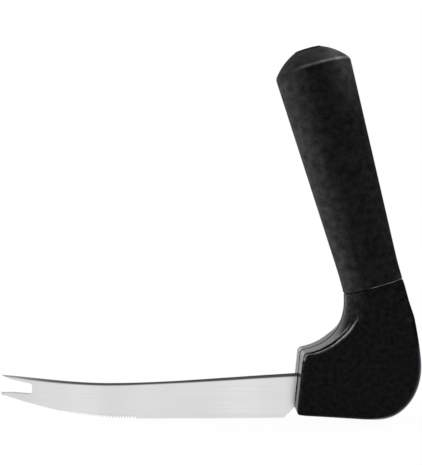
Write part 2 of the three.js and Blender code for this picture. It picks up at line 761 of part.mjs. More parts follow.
// What stays standing in the hollows: ribs, bosses and the walls of the tang's room.
function stiffeners() {
  const ribs = RIB_SHARES.map((share) => {
    const middle = share * SEAM_HEIGHT;
    return block(
      new THREE.Vector3(0, -halfBlock, middle - RIB_THICKNESS / 2),
      new THREE.Vector3(BODY_DEPTH, halfBlock, middle + RIB_THICKNESS / 2),
    );
  });
  const pegBoss = PEG_RADIUS + SIDE_GAP + BOSS_WALL;
  const screwBoss = SCREW_HEAD_RADIUS + SIDE_GAP + BOSS_WALL;
  return joined([
    ...ribs,
    plate(tangRoom(SEAT_GAP + BOSS_WALL), -halfBlock, halfBlock),
    ...pegPlaces().map((place) => crossBar(place, pegBoss, -halfBlock, halfBlock)),
    ...screwPlaces().map(({ place }) => crossBar(place, screwBoss, -halfBlock, halfBlock)),
  ]);
}

// Both halves of the handle as one, before they are parted.
function handleBlank() {
  const body = loft(bodySections().toReversed().map(sectionRing));
  const post = postSkin(-CUT_OVERLAP, postLength, 0);
  const postHollow = postSkin(POST_WALL, postLength - PLUG_STEM_GRIP - POST_WALL, -POST_WALL);
  const hollows = joined([bodyHollow(), postHollow]).subtract(stiffeners());
  const roomHalf = TANG_THICKNESS / 2 + SIDE_GAP;
  const tang = plate(tangRoom(SEAT_GAP), -roomHalf, roomHalf);
  const pinHalf = CHEEK_HALF - PIN_COVER + SEAT_GAP;
  const pins = pinPlaces().map((place) => crossBar(place, PIN_RADIUS + SIDE_GAP, -pinHalf, pinHalf));
  return body.add(post).subtract(joined([hollows, tang, plugRoom(), ...pins, ...screwRooms()]));
}

// Half of all space, on one side of the parting plane.
function sideSpace(side) {
  const far = BLADE_REACH + crownTop;
  const yNear = PARTING_GAP / 2;
  const [yLow, yHigh] = side > 0 ? [yNear, far] : [-far, -yNear];
  return block(new THREE.Vector3(-far, yLow, -far), new THREE.Vector3(far, yHigh, far));
}

function leftShell() {
  const pegs = pegPlaces().map((place) => crossBar(place, PEG_RADIUS, -PEG_ROOT, PEG_LENGTH));
  return handleBlank().intersect(sideSpace(-1)).add(joined(pegs));
}

function rightShell() {
  const holes = pegPlaces().map((place) =>
    crossBar(place, PEG_RADIUS + SIDE_GAP, -CUT_OVERLAP, PEG_LENGTH + SEAT_GAP),
  );
  return handleBlank().intersect(sideSpace(1)).subtract(joined(holes));
}

function tangPin(place) {
  const half = CHEEK_HALF - PIN_COVER;
  const neck = PIN_RADIUS - PIN_CHAMFER;
  return turnedAcross(place, [
    new THREE.Vector2(0, -half),
    new THREE.Vector2(neck, -half),
    new THREE.Vector2(PIN_RADIUS, PIN_CHAMFER - half),
    new THREE.Vector2(PIN_RADIUS, half - PIN_CHAMFER),
    new THREE.Vector2(neck, half),
    new THREE.Vector2(0, half),
  ]);
}

// Screws go in from the right and end inside the left half's wall.
function screwLevels(depth) {
  const top = depth - SCREW_HEAD_SINK;
  return { top, seat: top - SCREW_HEAD_HEIGHT, tip: POST_WALL - depth };
}

function postScrew({ place, depth }) {
  const { top, seat, tip } = screwLevels(depth);
  const screw = turnedAcross(place, [
    new THREE.Vector2(0, tip),
    new THREE.Vector2(SCREW_RADIUS, tip + SCREW_TIP_LENGTH),
    new THREE.Vector2(SCREW_RADIUS, seat),
    new THREE.Vector2(SCREW_HEAD_RADIUS, seat),
    new THREE.Vector2(SCREW_HEAD_RADIUS, top),
    new THREE.Vector2(0, top),
  ]);
  const slot = block(
    new THREE.Vector3(place.x - SCREW_HEAD_RADIUS, top - SCREW_SLOT_DEPTH, place.y - SCREW_SLOT_WIDTH / 2),
    new THREE.Vector3(place.x + SCREW_HEAD_RADIUS, top + CUT_OVERLAP, place.y + SCREW_SLOT_WIDTH / 2),
  );
  return screw.subtract(slot);
}

function screwRooms() {
  return screwPlaces().map(({ place, depth }) => {
    const { seat, tip } = screwLevels(depth);
    const shank = crossBar(place, SCREW_RADIUS + SIDE_GAP, tip - SEAT_GAP, depth);
    const head = crossBar(place, SCREW_HEAD_RADIUS + SIDE_GAP, seat - SEAT_GAP, depth + CUT_OVERLAP);
    return shank.add(head);
  });
}

// A straight round hole on the grip's axis.
function gripBore(radius, low, high) {
  const corners = [[0, low], [radius, low], [radius, high], [0, high]];
  return turnedOnGrip(corners.map(([x, y]) => new THREE.Vector2(x, y)));
}

const stemBore = PLUG_STEM_RADIUS + PLUG_BARB + SIDE_GAP;

function plugRoom() {
  return gripBore(stemBore, postLength - PLUG_STEM_GRIP - SEAT_GAP, postLength + CUT_OVERLAP);
}

function plugHeadRing(height, grow) {
  return gripRing(height, PLUG_HEAD_HALF_WIDTH + grow, PLUG_HEAD_HALF_DEPTH + grow, ROUND);
}

// Push-in plug: a low oval disc, half sunk in the crown, that keeps the sleeve down, on a barbed stem.
function endPlug() {
  const seat = crownTop - PLUG_SINK + SEAT_GAP;
  const top = seat + PLUG_HEAD_HEIGHT;
  const foot = postLength - PLUG_STEM_GRIP;
  const barbPitch = PLUG_STEM_GRIP / PLUG_BARB_COUNT;
  const profile = [new THREE.Vector2(0, foot)];
  for (let barb = 0; barb < PLUG_BARB_COUNT; barb += 1) {
    const low = foot + barb * barbPitch;
    profile.push(new THREE.Vector2(PLUG_STEM_RADIUS, low));
    profile.push(new THREE.Vector2(PLUG_STEM_RADIUS + PLUG_BARB, low + barbPitch / 2));
    profile.push(new THREE.Vector2(PLUG_STEM_RADIUS, low + barbPitch / 2));
  }
  profile.push(new THREE.Vector2(PLUG_STEM_RADIUS, top - PLUG_HEAD_CHAMFER));
  profile.push(new THREE.Vector2(0, top - PLUG_HEAD_CHAMFER));
  const head = loft([
    plugHeadRing(seat, 0),
    plugHeadRing(top - PLUG_HEAD_CHAMFER, 0),
    plugHeadRing(top, -PLUG_HEAD_CHAMFER),
  ]);
  return turnedOnGrip(profile).add(head);
}

// How deep the crown is where it has a given width.
function crownDepth(halfWidth) {
  const share = (GRIP_TOP_HALF_WIDTH - halfWidth) / (GRIP_TOP_HALF_WIDTH - CROWN_FLAT_HALF_WIDTH);
  return lerp(GRIP_TOP_HALF_DEPTH, CROWN_FLAT_HALF_DEPTH, share);
}

// The sleeve's outside at a height below its shoulder, with the foot flared out to the seam.
function sleeveRing(height) {
  const share = (height - SEAT_GAP) / (GRIP_LENGTH - SEAT_GAP);
  const flare = FOOT_FLARE * clamp(1 - height / FLARE_HEIGHT, 0, 1) ** 2;
  const halfWidth = lerp(GRIP_FOOT_HALF_WIDTH, GRIP_TOP_HALF_WIDTH, share) + flare;
  const halfDepth = lerp(SEAM_HALF_DEPTH, GRIP_TOP_HALF_DEPTH, share);
  return gripRing(height, halfWidth, halfDepth, lerp(SEAM_SQUARENESS, ROUND, share));
}

// Soft sleeve: a squarish oval where it meets the body, growing to a plain oval shoulder under its crown.
function gripSleeve() {
  const flared = shares(FLARE_STEPS).map((share) => lerp(SEAT_GAP, FLARE_HEIGHT, share));
  const plain = shares(GRIP_STEPS).map((share) => lerp(FLARE_HEIGHT, GRIP_LENGTH, share));
  const straight = [...flared, ...plain.slice(1)].map(sleeveRing);
  const shoulder = new THREE.Vector2(GRIP_TOP_HALF_WIDTH, GRIP_LENGTH);
  const rimOfFlat = new THREE.Vector2(CROWN_FLAT_HALF_WIDTH, crownTop);
  const chord = rimOfFlat.clone().sub(shoulder).normalize();
  const fullest = moved(shoulder.clone().lerp(rimOfFlat, 0.5), leftOf(chord).negate(), CROWN_FULLNESS);
  const crownCurve = new THREE.QuadraticBezierCurve(shoulder, fullest, rimOfFlat);
  const crownPoints = crownCurve.getPoints(CROWN_STEPS).slice(1);
  const crown = crownPoints.map(({ x, y }) => gripRing(y, x, crownDepth(x), ROUND));
  const bore = postSkin(-CUT_OVERLAP, postLength + SEAT_GAP, SEAT_GAP);
  const plugHole = gripBore(stemBore, postLength, crownTop + CUT_OVERLAP);
  const seatHeights = [crownTop - PLUG_SINK, crownTop + CUT_OVERLAP];
  const plugSeat = loft(seatHeights.map((height) => plugHeadRing(height, SIDE_GAP)));
  return loft([...straight, ...crown]).subtract(joined([bore, plugHole, plugSeat]));
}

function piece(name, solid, finish) {
  const mesh = new THREE.Mesh(geometryOf(solid), new THREE.MeshStandardMaterial(finish));
  mesh.name = name;
  return mesh;
}

const [frontPin, rearPin] = pinPlaces();
const [lowerScrew, upperScrew] = screwPlaces();
const assembly = new THREE.Group();
assembly.add(
  piece("blade", blade(), STEEL),
  piece("left_shell", leftShell(), PLASTIC),
  piece("right_shell", rightShell(), PLASTIC),
  piece("grip_sleeve", gripSleeve(), RUBBER),
  piece("end_plug", endPlug(), PLUG_PLASTIC),
  piece("front_tang_pin", tangPin(frontPin), FASTENER),
  piece("rear_tang_pin", tangPin(rearPin), FASTENER),
  piece("lower_post_screw", postScrew(lowerScrew), FASTENER),
  piece("upper_post_screw", postScrew(upperScrew), FASTENER),
);

const bounds = new THREE.Box3().setFromObject(assembly);
const middle = bounds.getCenter(new THREE.Vector3());
assembly.position.set(-middle.x, -middle.y, -bounds.min.z);

const knife = new THREE.Group();
knife.add(assembly);
export default knife;
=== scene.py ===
# %% [markdown]
# # An upright-handled carving knife
# A forked, part-toothed steel blade sits in a black moulded body. The body's post leans forward inside a
# soft rubber sleeve, and a small oval plug keeps the sleeve down. The CAD frame gives every piece its
# place, so nothing is fitted by eye here: the pieces that show are made again with finer surfaces, and
# the hidden pins and screws stay as they are.

# %% Load the frame
import math
from types import SimpleNamespace

import bmesh
import bpy
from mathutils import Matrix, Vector


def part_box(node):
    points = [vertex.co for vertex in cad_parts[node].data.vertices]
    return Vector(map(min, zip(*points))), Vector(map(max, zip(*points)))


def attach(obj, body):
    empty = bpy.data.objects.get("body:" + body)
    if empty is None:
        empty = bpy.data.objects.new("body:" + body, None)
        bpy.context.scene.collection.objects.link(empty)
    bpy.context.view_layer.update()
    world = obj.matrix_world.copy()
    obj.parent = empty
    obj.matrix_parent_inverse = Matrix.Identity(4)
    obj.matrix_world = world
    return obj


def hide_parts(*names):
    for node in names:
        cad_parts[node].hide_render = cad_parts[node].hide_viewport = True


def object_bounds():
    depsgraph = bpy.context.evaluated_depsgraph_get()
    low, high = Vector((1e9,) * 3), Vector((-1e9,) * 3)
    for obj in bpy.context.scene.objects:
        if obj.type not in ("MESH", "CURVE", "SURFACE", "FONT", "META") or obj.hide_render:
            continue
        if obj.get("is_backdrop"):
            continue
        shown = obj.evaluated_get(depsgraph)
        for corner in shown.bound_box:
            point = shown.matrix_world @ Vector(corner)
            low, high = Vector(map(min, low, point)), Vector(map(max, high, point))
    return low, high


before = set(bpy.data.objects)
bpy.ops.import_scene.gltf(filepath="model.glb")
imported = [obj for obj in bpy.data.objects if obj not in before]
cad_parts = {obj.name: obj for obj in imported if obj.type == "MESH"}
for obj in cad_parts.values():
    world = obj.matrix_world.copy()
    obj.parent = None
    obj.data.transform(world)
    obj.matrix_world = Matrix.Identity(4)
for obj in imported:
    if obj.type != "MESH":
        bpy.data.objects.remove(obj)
cad_low, cad_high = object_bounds()
MM = 0.001
BLADE_REACH = 134.75
HANDLE_FRONT = cad_low.x / MM + BLADE_REACH
scene = bpy.context.scene
scene.view_settings.view_transform = "Standard"
print("CAD box in mm:", [round(side / MM, 1) for side in cad_high - cad_low])
print("the handle's front face is at x =", round(HANDLE_FRONT, 2), "mm")

# %% [markdown]
# ## Camera
# The photograph looks square at the blade's left side from about 30 cm away. A camera that stands level
# with the lower part of the grip shows a little of the blade's spine from above and of the crown from
# below, as the photograph does. Its focal length is known in pixels, and the longer image side covers the
# whole sensor.

# %% Camera
PHOTO_HEIGHT = 465
FOCAL_PIXELS = 675
CAMERA_PLACE = Vector((0.7, -306.8, 84.5)) * MM
NEAREST_SEEN = 0.01

camera_data = bpy.data.cameras.new("photo_camera")
camera_data.lens = camera_data.sensor_width * FOCAL_PIXELS / PHOTO_HEIGHT
camera_data.clip_start = NEAREST_SEEN
camera = bpy.data.objects.new("photo_camera", camera_data)
camera.location = CAMERA_PLACE
camera.rotation_euler = (math.radians(90), 0, 0)
scene.collection.objects.link(camera)
scene.camera = camera
print("camera lens in mm:", round(camera_data.lens, 2))

# %% [markdown]
# ## Studio
# A product picture like this is taken in a white tent. White paper could be lit until it clips, but that
# would burn out the steel too. Here the world and the floor simply are white for rays from the camera and
# from shiny surfaces, and give softer light to everything else. The floor keeps part of its own shading,
# so the contact shadow stays. Two lamps give the black pieces their roundness. They are hidden from shiny
# surfaces, which would mirror them as hard patches. A black card, just out of the picture on the right,
# takes the shine off that side of the handle.

# %% Node helpers
def add_node(tree, kind, values=None, **settings):
    """Adds a node, sets its options, and feeds its inputs with plain values or with other nodes' outputs."""
    made = tree.nodes.new(kind)
    for name, value in settings.items():
        setattr(made, name, value)
    for name, value in (values or {}).items():
        if isinstance(value, bpy.types.NodeSocket):
            tree.links.new(value, made.inputs[name])
        else:
            made.inputs[name].default_value = value
    return made


def maths(tree, operation, *values):
    return add_node(tree, "ShaderNodeMath", dict(enumerate(values)), operation=operation).outputs[0]


def rescaled(tree, value, low, high, new_low, new_high):
    limits = {"From Min": low, "From Max": high, "To Min": new_low, "To Max": new_high}
    return add_node(tree, "ShaderNodeMapRange", {"Value": value, **limits}).outputs[0]


def seen_directly(tree):
    """One for rays from the camera, from shiny surfaces and through clear ones, else nought."""
    path = add_node(tree, "ShaderNodeLightPath").outputs
    mirrored = maths(tree, "MAXIMUM", path["Is Glossy Ray"], path["Is Transmission Ray"])
    return maths(tree, "MAXIMUM", path["Is Camera Ray"], mirrored)


# %% World
WHITE = (1, 1, 1, 1)
TENT_LIGHT = 0.25

world = bpy.data.worlds.new("white_tent")
world.use_nodes = True
world.cycles.sampling_method = "NONE"
scene.world = world
tent = world.node_tree
tent.nodes.clear()
strength = maths(tent, "MULTIPLY_ADD", seen_directly(tent), 1 - TENT_LIGHT, TENT_LIGHT)
background = add_node(tent, "ShaderNodeBackground", {"Color": WHITE, "Strength": strength})
add_node(tent, "ShaderNodeOutputWorld", {"Surface": background.outputs[0]})
print("the tent lights matt surfaces at", TENT_LIGHT, "of white")

# %% Floor
FLOOR_SIZE = 4
FLOOR_COLOUR = (0.9, 0.9, 0.9, 1)
SHADOW_SHARE = 0.03
SHADOW_FADES_FROM = 0.12
SHADOW_ENDS_AT = 0.4


def bare_material(name):
    """A material without any nodes, and its tree."""
    material = bpy.data.materials.new(name)
    material.use_nodes = True
    material.node_tree.nodes.clear()
    return material, material.node_tree


def stage_sheet(name, corners, material):
    """A flat sheet with four corners that belongs to the studio."""
    mesh = bpy.data.meshes.new(name)
    mesh.from_pydata(corners, [], [(0, 1, 2, 3)])
    mesh.materials.append(material)
    sheet = bpy.data.objects.new(name, mesh)
    scene.collection.objects.link(sheet)
    sheet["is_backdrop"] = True
    return sheet


paper, tree = bare_material("white_paper")
matt = add_node(tree, "ShaderNodeBsdfDiffuse", {"Color": FLOOR_COLOUR})
glow = add_node(tree, "ShaderNodeEmission", {"Color": WHITE})
spot = add_node(tree, "ShaderNodeTexCoord").outputs["Object"]
away = add_node(tree, "ShaderNodeVectorMath", {0: spot}, operation="LENGTH").outputs["Value"]
whiteness = rescaled(tree, away, SHADOW_FADES_FROM, SHADOW_ENDS_AT, 1 - SHADOW_SHARE, 1)
share = maths(tree, "MULTIPLY", seen_directly(tree), whiteness)
mixed = add_node(tree, "ShaderNodeMixShader", {0: share, 1: matt.outputs[0], 2: glow.outputs[0]})
add_node(tree, "ShaderNodeOutputMaterial", {"Surface": mixed.outputs[0]})
reach = FLOOR_SIZE / 2
corners = [(-reach, -reach), (reach, -reach), (reach, reach), (-reach, reach)]
stage_sheet("floor", [(x, y, cad_low.z) for x, y in corners], paper)
print("floor at", round(cad_low.z / MM, 3), "mm")

# %% Lamps
KNIFE_MIDDLE = (cad_low + cad_high) / 2


def soft_lamp(name, place, width, height, watts):
    """A lamp with a wide face, turned to the knife, that lights matt surfaces only."""
    lamp = bpy.data.lights.new(name, "AREA")
    lamp.shape = "RECTANGLE"
    lamp.size, lamp.size_y, lamp.energy = width, height, watts
    holder = bpy.data.objects.new(name, lamp)
    holder.location = place
    holder.rotation_euler = (KNIFE_MIDDLE - Vector(place)).to_track_quat("-Z", "Y").to_euler()
    holder.visible_camera = False
    holder.visible_glossy = False
    scene.collection.objects.link(holder)


soft_lamp("left_strip", place=(-0.75, 0.1, 0.11), width=0.3, height=0.2, watts=20)
soft_lamp("right_panel", place=(0.62, 0.04, 0.55), width=0.4, height=0.4, watts=5)

# %% Black card
BLACK = (0, 0, 0, 1)
CARD_NEAR_PICTURE = (0.15, 0.1)
CARD_FAR_END = (0.5, -0.35)
CARD_FOOT = 0.02
CARD_TOP = 0.6

black, tree = bare_material("black_card")
soaked_up = add_node(tree, "ShaderNodeBsdfDiffuse", {"Color": BLACK})
add_node(tree, "ShaderNodeOutputMaterial", {"Surface": soaked_up.outputs[0]})
foot = [(*CARD_NEAR_PICTURE, CARD_FOOT), (*CARD_FAR_END, CARD_FOOT)]
head = [(*CARD_FAR_END, CARD_TOP), (*CARD_NEAR_PICTURE, CARD_TOP)]
card = stage_sheet("black_card", [*foot, *head], black)
card.visible_camera = False
card.visible_shadow = False
print("card is", round((Vector(CARD_NEAR_PICTURE) - Vector(CARD_FAR_END)).length, 2), "m wide")

# %% [markdown]
# ## Shared effects
# Three effects come back in several finishes, so each is a node group with its own inputs. The mottle
# gives moulded surfaces their cloudy tone and fine grain, the brushing draws long scratches along the
# blade, and the edge wear lightens edges where hands and cloths rub, and with it paints highlights on
# them. They only put out masks and heights; the shaders stay in the materials.

# %% Node group helpers
FINE_SHARE = 0.4


def new_group(name, kind, takes, gives):
    """An empty node group with named sockets, and its input and output nodes."""
    tree = bpy.data.node_groups.new(name, kind)
    for label, (socket, value) in takes.items():
        made = tree.interface.new_socket(name=label, in_out="INPUT", socket_type=socket)
        if value is not None:
            made.default_value = value
    for label, socket in gives.items():
        tree.interface.new_socket(name=label, in_out="OUTPUT", socket_type=socket)
    return tree, tree.nodes.new("NodeGroupInput").outputs, tree.nodes.new("NodeGroupOutput").inputs


def noise(tree, place, scale, detail):
    values = {"Vector": place, "Scale": scale, "Detail": detail}
    return add_node(tree, "ShaderNodeTexNoise", values).outputs[0]


def blended(tree, fine, coarse):
    return maths(tree, "MULTIPLY_ADD", fine, FINE_SHARE, maths(tree, "MULTIPLY", coarse, 1 - FINE_SHARE))


# %% Mottle
MOTTLE_LOW = 0.36
MOTTLE_HIGH = 0.64

mottle, takes, gives = new_group(
    "moulded_mottle",
    "ShaderNodeTree",
    {
        "Vector": ("NodeSocketVector", None),
        "Blotch Scale": ("NodeSocketFloat", 300),
        "Grain Scale": ("NodeSocketFloat", 3000),
    },
    {"Shade": "NodeSocketFloat", "Height": "NodeSocketFloat"},
)
blotch = noise(mottle, takes["Vector"], takes["Blotch Scale"], detail=3)
grain = noise(mottle, takes["Vector"], takes["Grain Scale"], detail=1)
shade = rescaled(mottle, blended(mottle, grain, blotch), MOTTLE_LOW, MOTTLE_HIGH, 0, 1)
mottle.links.new(shade, gives["Shade"])
mottle.links.new(grain, gives["Height"])
print("group:", mottle.name)

# %% Brushing
BRUSH_LOW = 0.34
BRUSH_HIGH = 0.66

brushing, takes, gives = new_group(
    "brushing",
    "ShaderNodeTree",
    {
        "Vector": ("NodeSocketVector", None),
        "Streak Scale": ("NodeSocketFloat", 900),
        "Scratch Scale": ("NodeSocketFloat", 6000),
        "Stretch": ("NodeSocketFloat", 0.02),
    },
    {"Shade": "NodeSocketFloat", "Height": "NodeSocketFloat"},
)
along = add_node(brushing, "ShaderNodeCombineXYZ", {"X": takes["Stretch"], "Y": 1, "Z": 1}).outputs[0]
drawn_out = add_node(
    brushing, "ShaderNodeVectorMath", {0: takes["Vector"], 1: along}, operation="MULTIPLY"
).outputs[0]
streak = noise(brushing, drawn_out, takes["Streak Scale"], detail=2)
scratch = noise(brushing, drawn_out, takes["Scratch Scale"], detail=2)
shade = rescaled(brushing, blended(brushing, scratch, streak), BRUSH_LOW, BRUSH_HIGH, 0, 1)
brushing.links.new(shade, gives["Shade"])
brushing.links.new(scratch, gives["Height"])
print("group:", brushing.name)

# %% Edge wear and painted highlight
PATCH_LOW = 0.35
PATCH_HIGH = 0.6
LEAST_PALE = 0.45

wear_and_highlight, takes, gives = new_group(
    "edge_wear_and_highlight",
    "ShaderNodeTree",
    {
        "Vector": ("NodeSocketVector", None),
        "Edge": ("NodeSocketFloat", 0),
        "Patch Scale": ("NodeSocketFloat", 250),
    },
    {"Wear And Highlight": "NodeSocketFloat"},
)
patch = noise(wear_and_highlight, takes["Vector"], takes["Patch Scale"], detail=2)
paleness = rescaled(wear_and_highlight, patch, PATCH_LOW, PATCH_HIGH, LEAST_PALE, 1)
wear_and_highlight.links.new(maths(wear_and_highlight, "MULTIPLY", takes["Edge"], paleness), gives["Wear And Highlight"])
print("group:", wear_and_highlight.name)

# %% [markdown]
# ## Finishes
# Each finish reads the piece's own object coordinates, so its pattern stays on the piece from every side.
# Brushed steel, satin black plastic and soft rubber differ mostly in how they spread light: the steel
# mirrors the white tent, the plastic only shines at a glancing angle, and the rubber hardly shines at
# all. The three black mouldings are built alike, so one function makes them from their own values.

# %% Finish helpers
# The Mix node has a set of sockets for each kind of data, and these are the places of its colours
FIRST_COLOUR, SECOND_COLOUR, MIXED_COLOUR = 6, 7, 2


def new_finish(name, **fixed):
    """A material with one shader, whose fixed values sit on its own sockets, and its object coordinates."""
    finish = bpy.data.materials.new(name)
    finish.use_nodes = True
    tree = finish.node_tree
    shader = tree.nodes["Principled BSDF"]
    for socket, value in fixed.items():
        shader.inputs[socket.replace("_", " ")].default_value = value
    coordinates = add_node(tree, "ShaderNodeTexCoord").outputs["Object"]
    return finish, tree, shader.inputs, coordinates


def use_group(tree, group, values):
    return add_node(tree, "ShaderNodeGroup", values, node_tree=group).outputs


def tint(tree, share, first, second):
    values = {0: share, FIRST_COLOUR: first, SECOND_COLOUR: second}
    return add_node(tree, "ShaderNodeMix", values, data_type="RGBA").outputs[MIXED_COLOUR]


def grey(value, warmth=0.0):
    return (value * (1 + warmth), value, value * (1 - warmth), 1)


def bumped(tree, height, strength, depth):
    values = {"Height": height, "Strength": strength, "Distance": depth}
    return add_node(tree, "ShaderNodeBump", values).outputs[0]


def painted_mask(tree, name):
    return add_node(tree, "ShaderNodeAttribute", attribute_name=name).outputs["Fac"]


# %% Black mouldings
def moulded_finish(name, blotches, grains, tones, roughness, bump, depth, paleness=None, **fixed):
    """A moulding whose tone and roughness follow the mottle, and whose pale edges are partly wear, partly
    painted highlight.
    """
    finish, tree, shader, spot = new_finish(name, **fixed)
    cloud = use_group(tree, mottle, {"Vector": spot, "Blotch Scale": blotches, "Grain Scale": grains})
    darkest, palest = tones
    colour = tint(tree, cloud["Shade"], grey(darkest), grey(palest))
    # Pale edges: partly wear, partly painted highlight
    if paleness:
        pale_edges = use_group(tree, wear_and_highlight, {"Vector": spot, "Edge": painted_mask(tree, "edge")})
        colour = tint(tree, pale_edges["Wear And Highlight"], colour, grey(paleness))
    tree.links.new(colour, shader["Base Color"])
    tree.links.new(rescaled(tree, cloud["Shade"], 0, 1, *roughness), shader["Roughness"])
    tree.links.new(bumped(tree, cloud["Height"], bump, depth), shader["Normal"])
    print("finish:", name)
    return finish


# %% Satin black plastic of the body
COAT_STARTS = 0.3
COAT_FULL = 0.95
COAT_MOST = 0.6

body_plastic = moulded_finish(
    "body_plastic",
    blotches=480,
    grains=2600,
    tones=(0.0016, 0.013),
    roughness=(0.3, 0.38),
    bump=0.12,
    depth=0.04 * MM,
    # The body's pale edges are partly wear and partly painted highlight on the ridge, rim and neck
    paleness=0.16,
    Specular_IOR_Level=0.03,
    Coat_Roughness=0.2,
)
tree = body_plastic.node_tree
glancing = add_node(tree, "ShaderNodeLayerWeight").outputs["Facing"]
coat = rescaled(tree, glancing, COAT_STARTS, COAT_FULL, 0, COAT_MOST)
tree.links.new(coat, tree.nodes["Principled BSDF"].inputs["Coat Weight"])
print("its coat grows to", COAT_MOST, "towards the rims")

# %% Soft rubber of the sleeve
grip_rubber = moulded_finish(
    "grip_rubber",
    blotches=330,
    grains=2200,
    tones=(0.0062, 0.021),
    roughness=(0.62, 0.78),
    bump=0.3,
    depth=0.08 * MM,
    # The sleeve's pale grey is painted light: highlights on the hem and shoulder, light on the crown and
    # below the shoulder
    paleness=0.8,
    Specular_IOR_Level=0.012,
)

# %% Matt plastic of the end plug
plug_plastic = moulded_finish(
    "plug_plastic",
    blotches=600,
    grains=4000,
    tones=(0.001, 0.003),
    roughness=(0.4, 0.5),
    bump=0.2,
    depth=0.04 * MM,
    Specular_IOR_Level=0.03,
)

# %% Zinc on the pins and screws
ZINC_DARK = grey(0.5, -0.01)
ZINC_PALE = grey(0.64, -0.01)
ZINC_ROUGHNESS = (0.32, 0.46)
ZINC_BUMP = 0.15
SCRATCH_DEPTH = 0.02 * MM

fastener_zinc, tree, shader, spot = new_finish("fastener_zinc", Metallic=1)
turned = use_group(tree, brushing, {"Vector": spot, "Streak Scale": 1500, "Stretch": 1})
cloud = use_group(tree, mottle, {"Vector": spot, "Blotch Scale": 800, "Grain Scale": 5000})
tree.links.new(tint(tree, cloud["Shade"], ZINC_DARK, ZINC_PALE), shader["Base Color"])
tree.links.new(rescaled(tree, turned["Shade"], 0, 1, *ZINC_ROUGHNESS), shader["Roughness"])
tree.links.new(bumped(tree, turned["Height"], ZINC_BUMP, SCRATCH_DEPTH), shader["Normal"])
print("finish:", fastener_zinc.name)

# %% [markdown]
# ## Edges
# Real mouldings go pale where they are most sharply bent, because hands rub them there, and such edges
# also catch highlights, so the paleness here is partly wear and partly painted highlight. Blender could
# guess the bend while it renders, but the answer is already in the mesh: how fast the surface turns at each
# corner point. That is measured once and painted on the mesh, with the sleeve's painted light, where the
# finishes read it.

# %% Finished pieces
SHARP_TURN = math.radians(32)
TIGHTEST_ROUND = 1.5 * MM
WIDEST_ROUND = 3.2 * MM


def paint_edges(mesh, paleness_rule):
    """Measures 1 where the surface bends outwards tightly and 0 where it is flat or hollow, and paints the
    paleness that the piece's rule makes of it: partly wear, partly painted highlight and light.
    """
    work = bmesh.new()
    work.from_mesh(mesh)
    bend = []
    for corner in work.verts:
        turn = sum(edge.calc_face_angle_signed(0) * edge.calc_length() for edge in corner.link_edges)
        area = sum(face.calc_area() / len(face.verts) for face in corner.link_faces)
        bend.append(turn / (2 * area) if area else 0)
    work.free()
    low, high = 1 / WIDEST_ROUND, 1 / TIGHTEST_ROUND
    edges = [min(max((value - low) / (high - low), 0), 1) for value in bend]
    painted = [paleness_rule(corner.co, edge) for corner, edge in zip(mesh.vertices, edges)]
    mesh.attributes.new("edge", "FLOAT", "POINT").data.foreach_set("value", painted)


def finish_piece(name, mesh, finish, paleness_rule=lambda place, edge: edge):
    """Makes the mesh a shown piece in the place of the CAD node of the same name."""
    mesh.name = name
    mesh.materials.clear()
    mesh.materials.append(finish)
    mesh.shade_smooth()
    mesh.set_sharp_from_angle(angle=SHARP_TURN)
    paint_edges(mesh, paleness_rule)
    shown = bpy.data.objects.new(name + "_finished", mesh)
    scene.collection.objects.link(shown)
    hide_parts(name)
    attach(shown, "root")
    print(name, "has", len(mesh.polygons), "faces")


# %% [markdown]
# ## Blade
# A stamped blade has flat sides, a square-cut spine whose corners are eased, and a ground edge. Its
# outline, bevels and teeth are already right in the CAD solid. Drawing them again would only add
# mistakes, so a copy of that solid is welded, its flat parts are joined again, and the corners of the
# spine are rounded. The finish follows the spine line with a dark band: darker steel on the rounded
# corners, and painted shade that runs on down the flat side below them. Faces of the fork that look up
# are painted darker too.

# %% Blade copy and its spine line
WELD = 0.001 * MM
FLAT_TURN = math.radians(0.3)
SPINE_FLOOR = 14.5 * MM
SIDEWAYS = 0.99
UPWARDS = 0.7

work = bmesh.new()
work.from_mesh(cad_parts["blade"].data)
bmesh.ops.remove_doubles(work, verts=work.verts, dist=WELD)
bmesh.ops.dissolve_limit(work, angle_limit=FLAT_TURN, verts=work.verts, edges=work.edges)


def on_spine_corner(edge):
    """An edge between a flat side and the upper face that was cut by the press."""
    if len(edge.link_faces) != 2 or min(corner.co.z for corner in edge.verts) < SPINE_FLOOR:
        return False
    flat, cut = sorted(edge.link_faces, key=lambda face: -abs(face.normal.y))
    return abs(flat.normal.y) > SIDEWAYS and cut.normal.z > UPWARDS


spine_corners = [edge for edge in work.edges if on_spine_corner(edge)]
spine_points = {
    round(corner.co.x / MM, 2): corner.co.z for edge in spine_corners for corner in edge.verts
}
spine_line = sorted((x * MM, z) for x, z in spine_points.items())
print("the spine line has", len(spine_line), "points")

# %% Brushed blade steel
STREAK_DARK = grey(0.735)
STREAK_PALE = grey(0.82)
CLOUD_GREY = grey(0.705)
CLOUD_SPACING = Vector((28, 0, 3))
CLOUD_LOW = 0.4
CLOUD_HIGH = 0.65

blade_steel, tree, shader, spot = new_finish(
    "blade_steel", Metallic=1, Anisotropic=0.4, Anisotropic_Rotation=0.25
)
brushed = use_group(tree, brushing, {"Vector": spot})
slow = add_node(tree, "ShaderNodeVectorMath", {0: spot, 1: CLOUD_SPACING}, operation="MULTIPLY").outputs[0]
clouds = rescaled(tree, noise(tree, slow, 1, detail=1), CLOUD_LOW, CLOUD_HIGH, 0, 1)
streaked = tint(tree, brushed["Shade"], STREAK_DARK, STREAK_PALE)
clouded = tint(tree, clouds, streaked, CLOUD_GREY)
print("finish:", blade_steel.name)

# %% Dark band along the spine: darker steel and painted shade
SHADE_BAND_SOFTNESS = 0.32 * MM
WIDEST_SHADE_BAND = 2 * MM
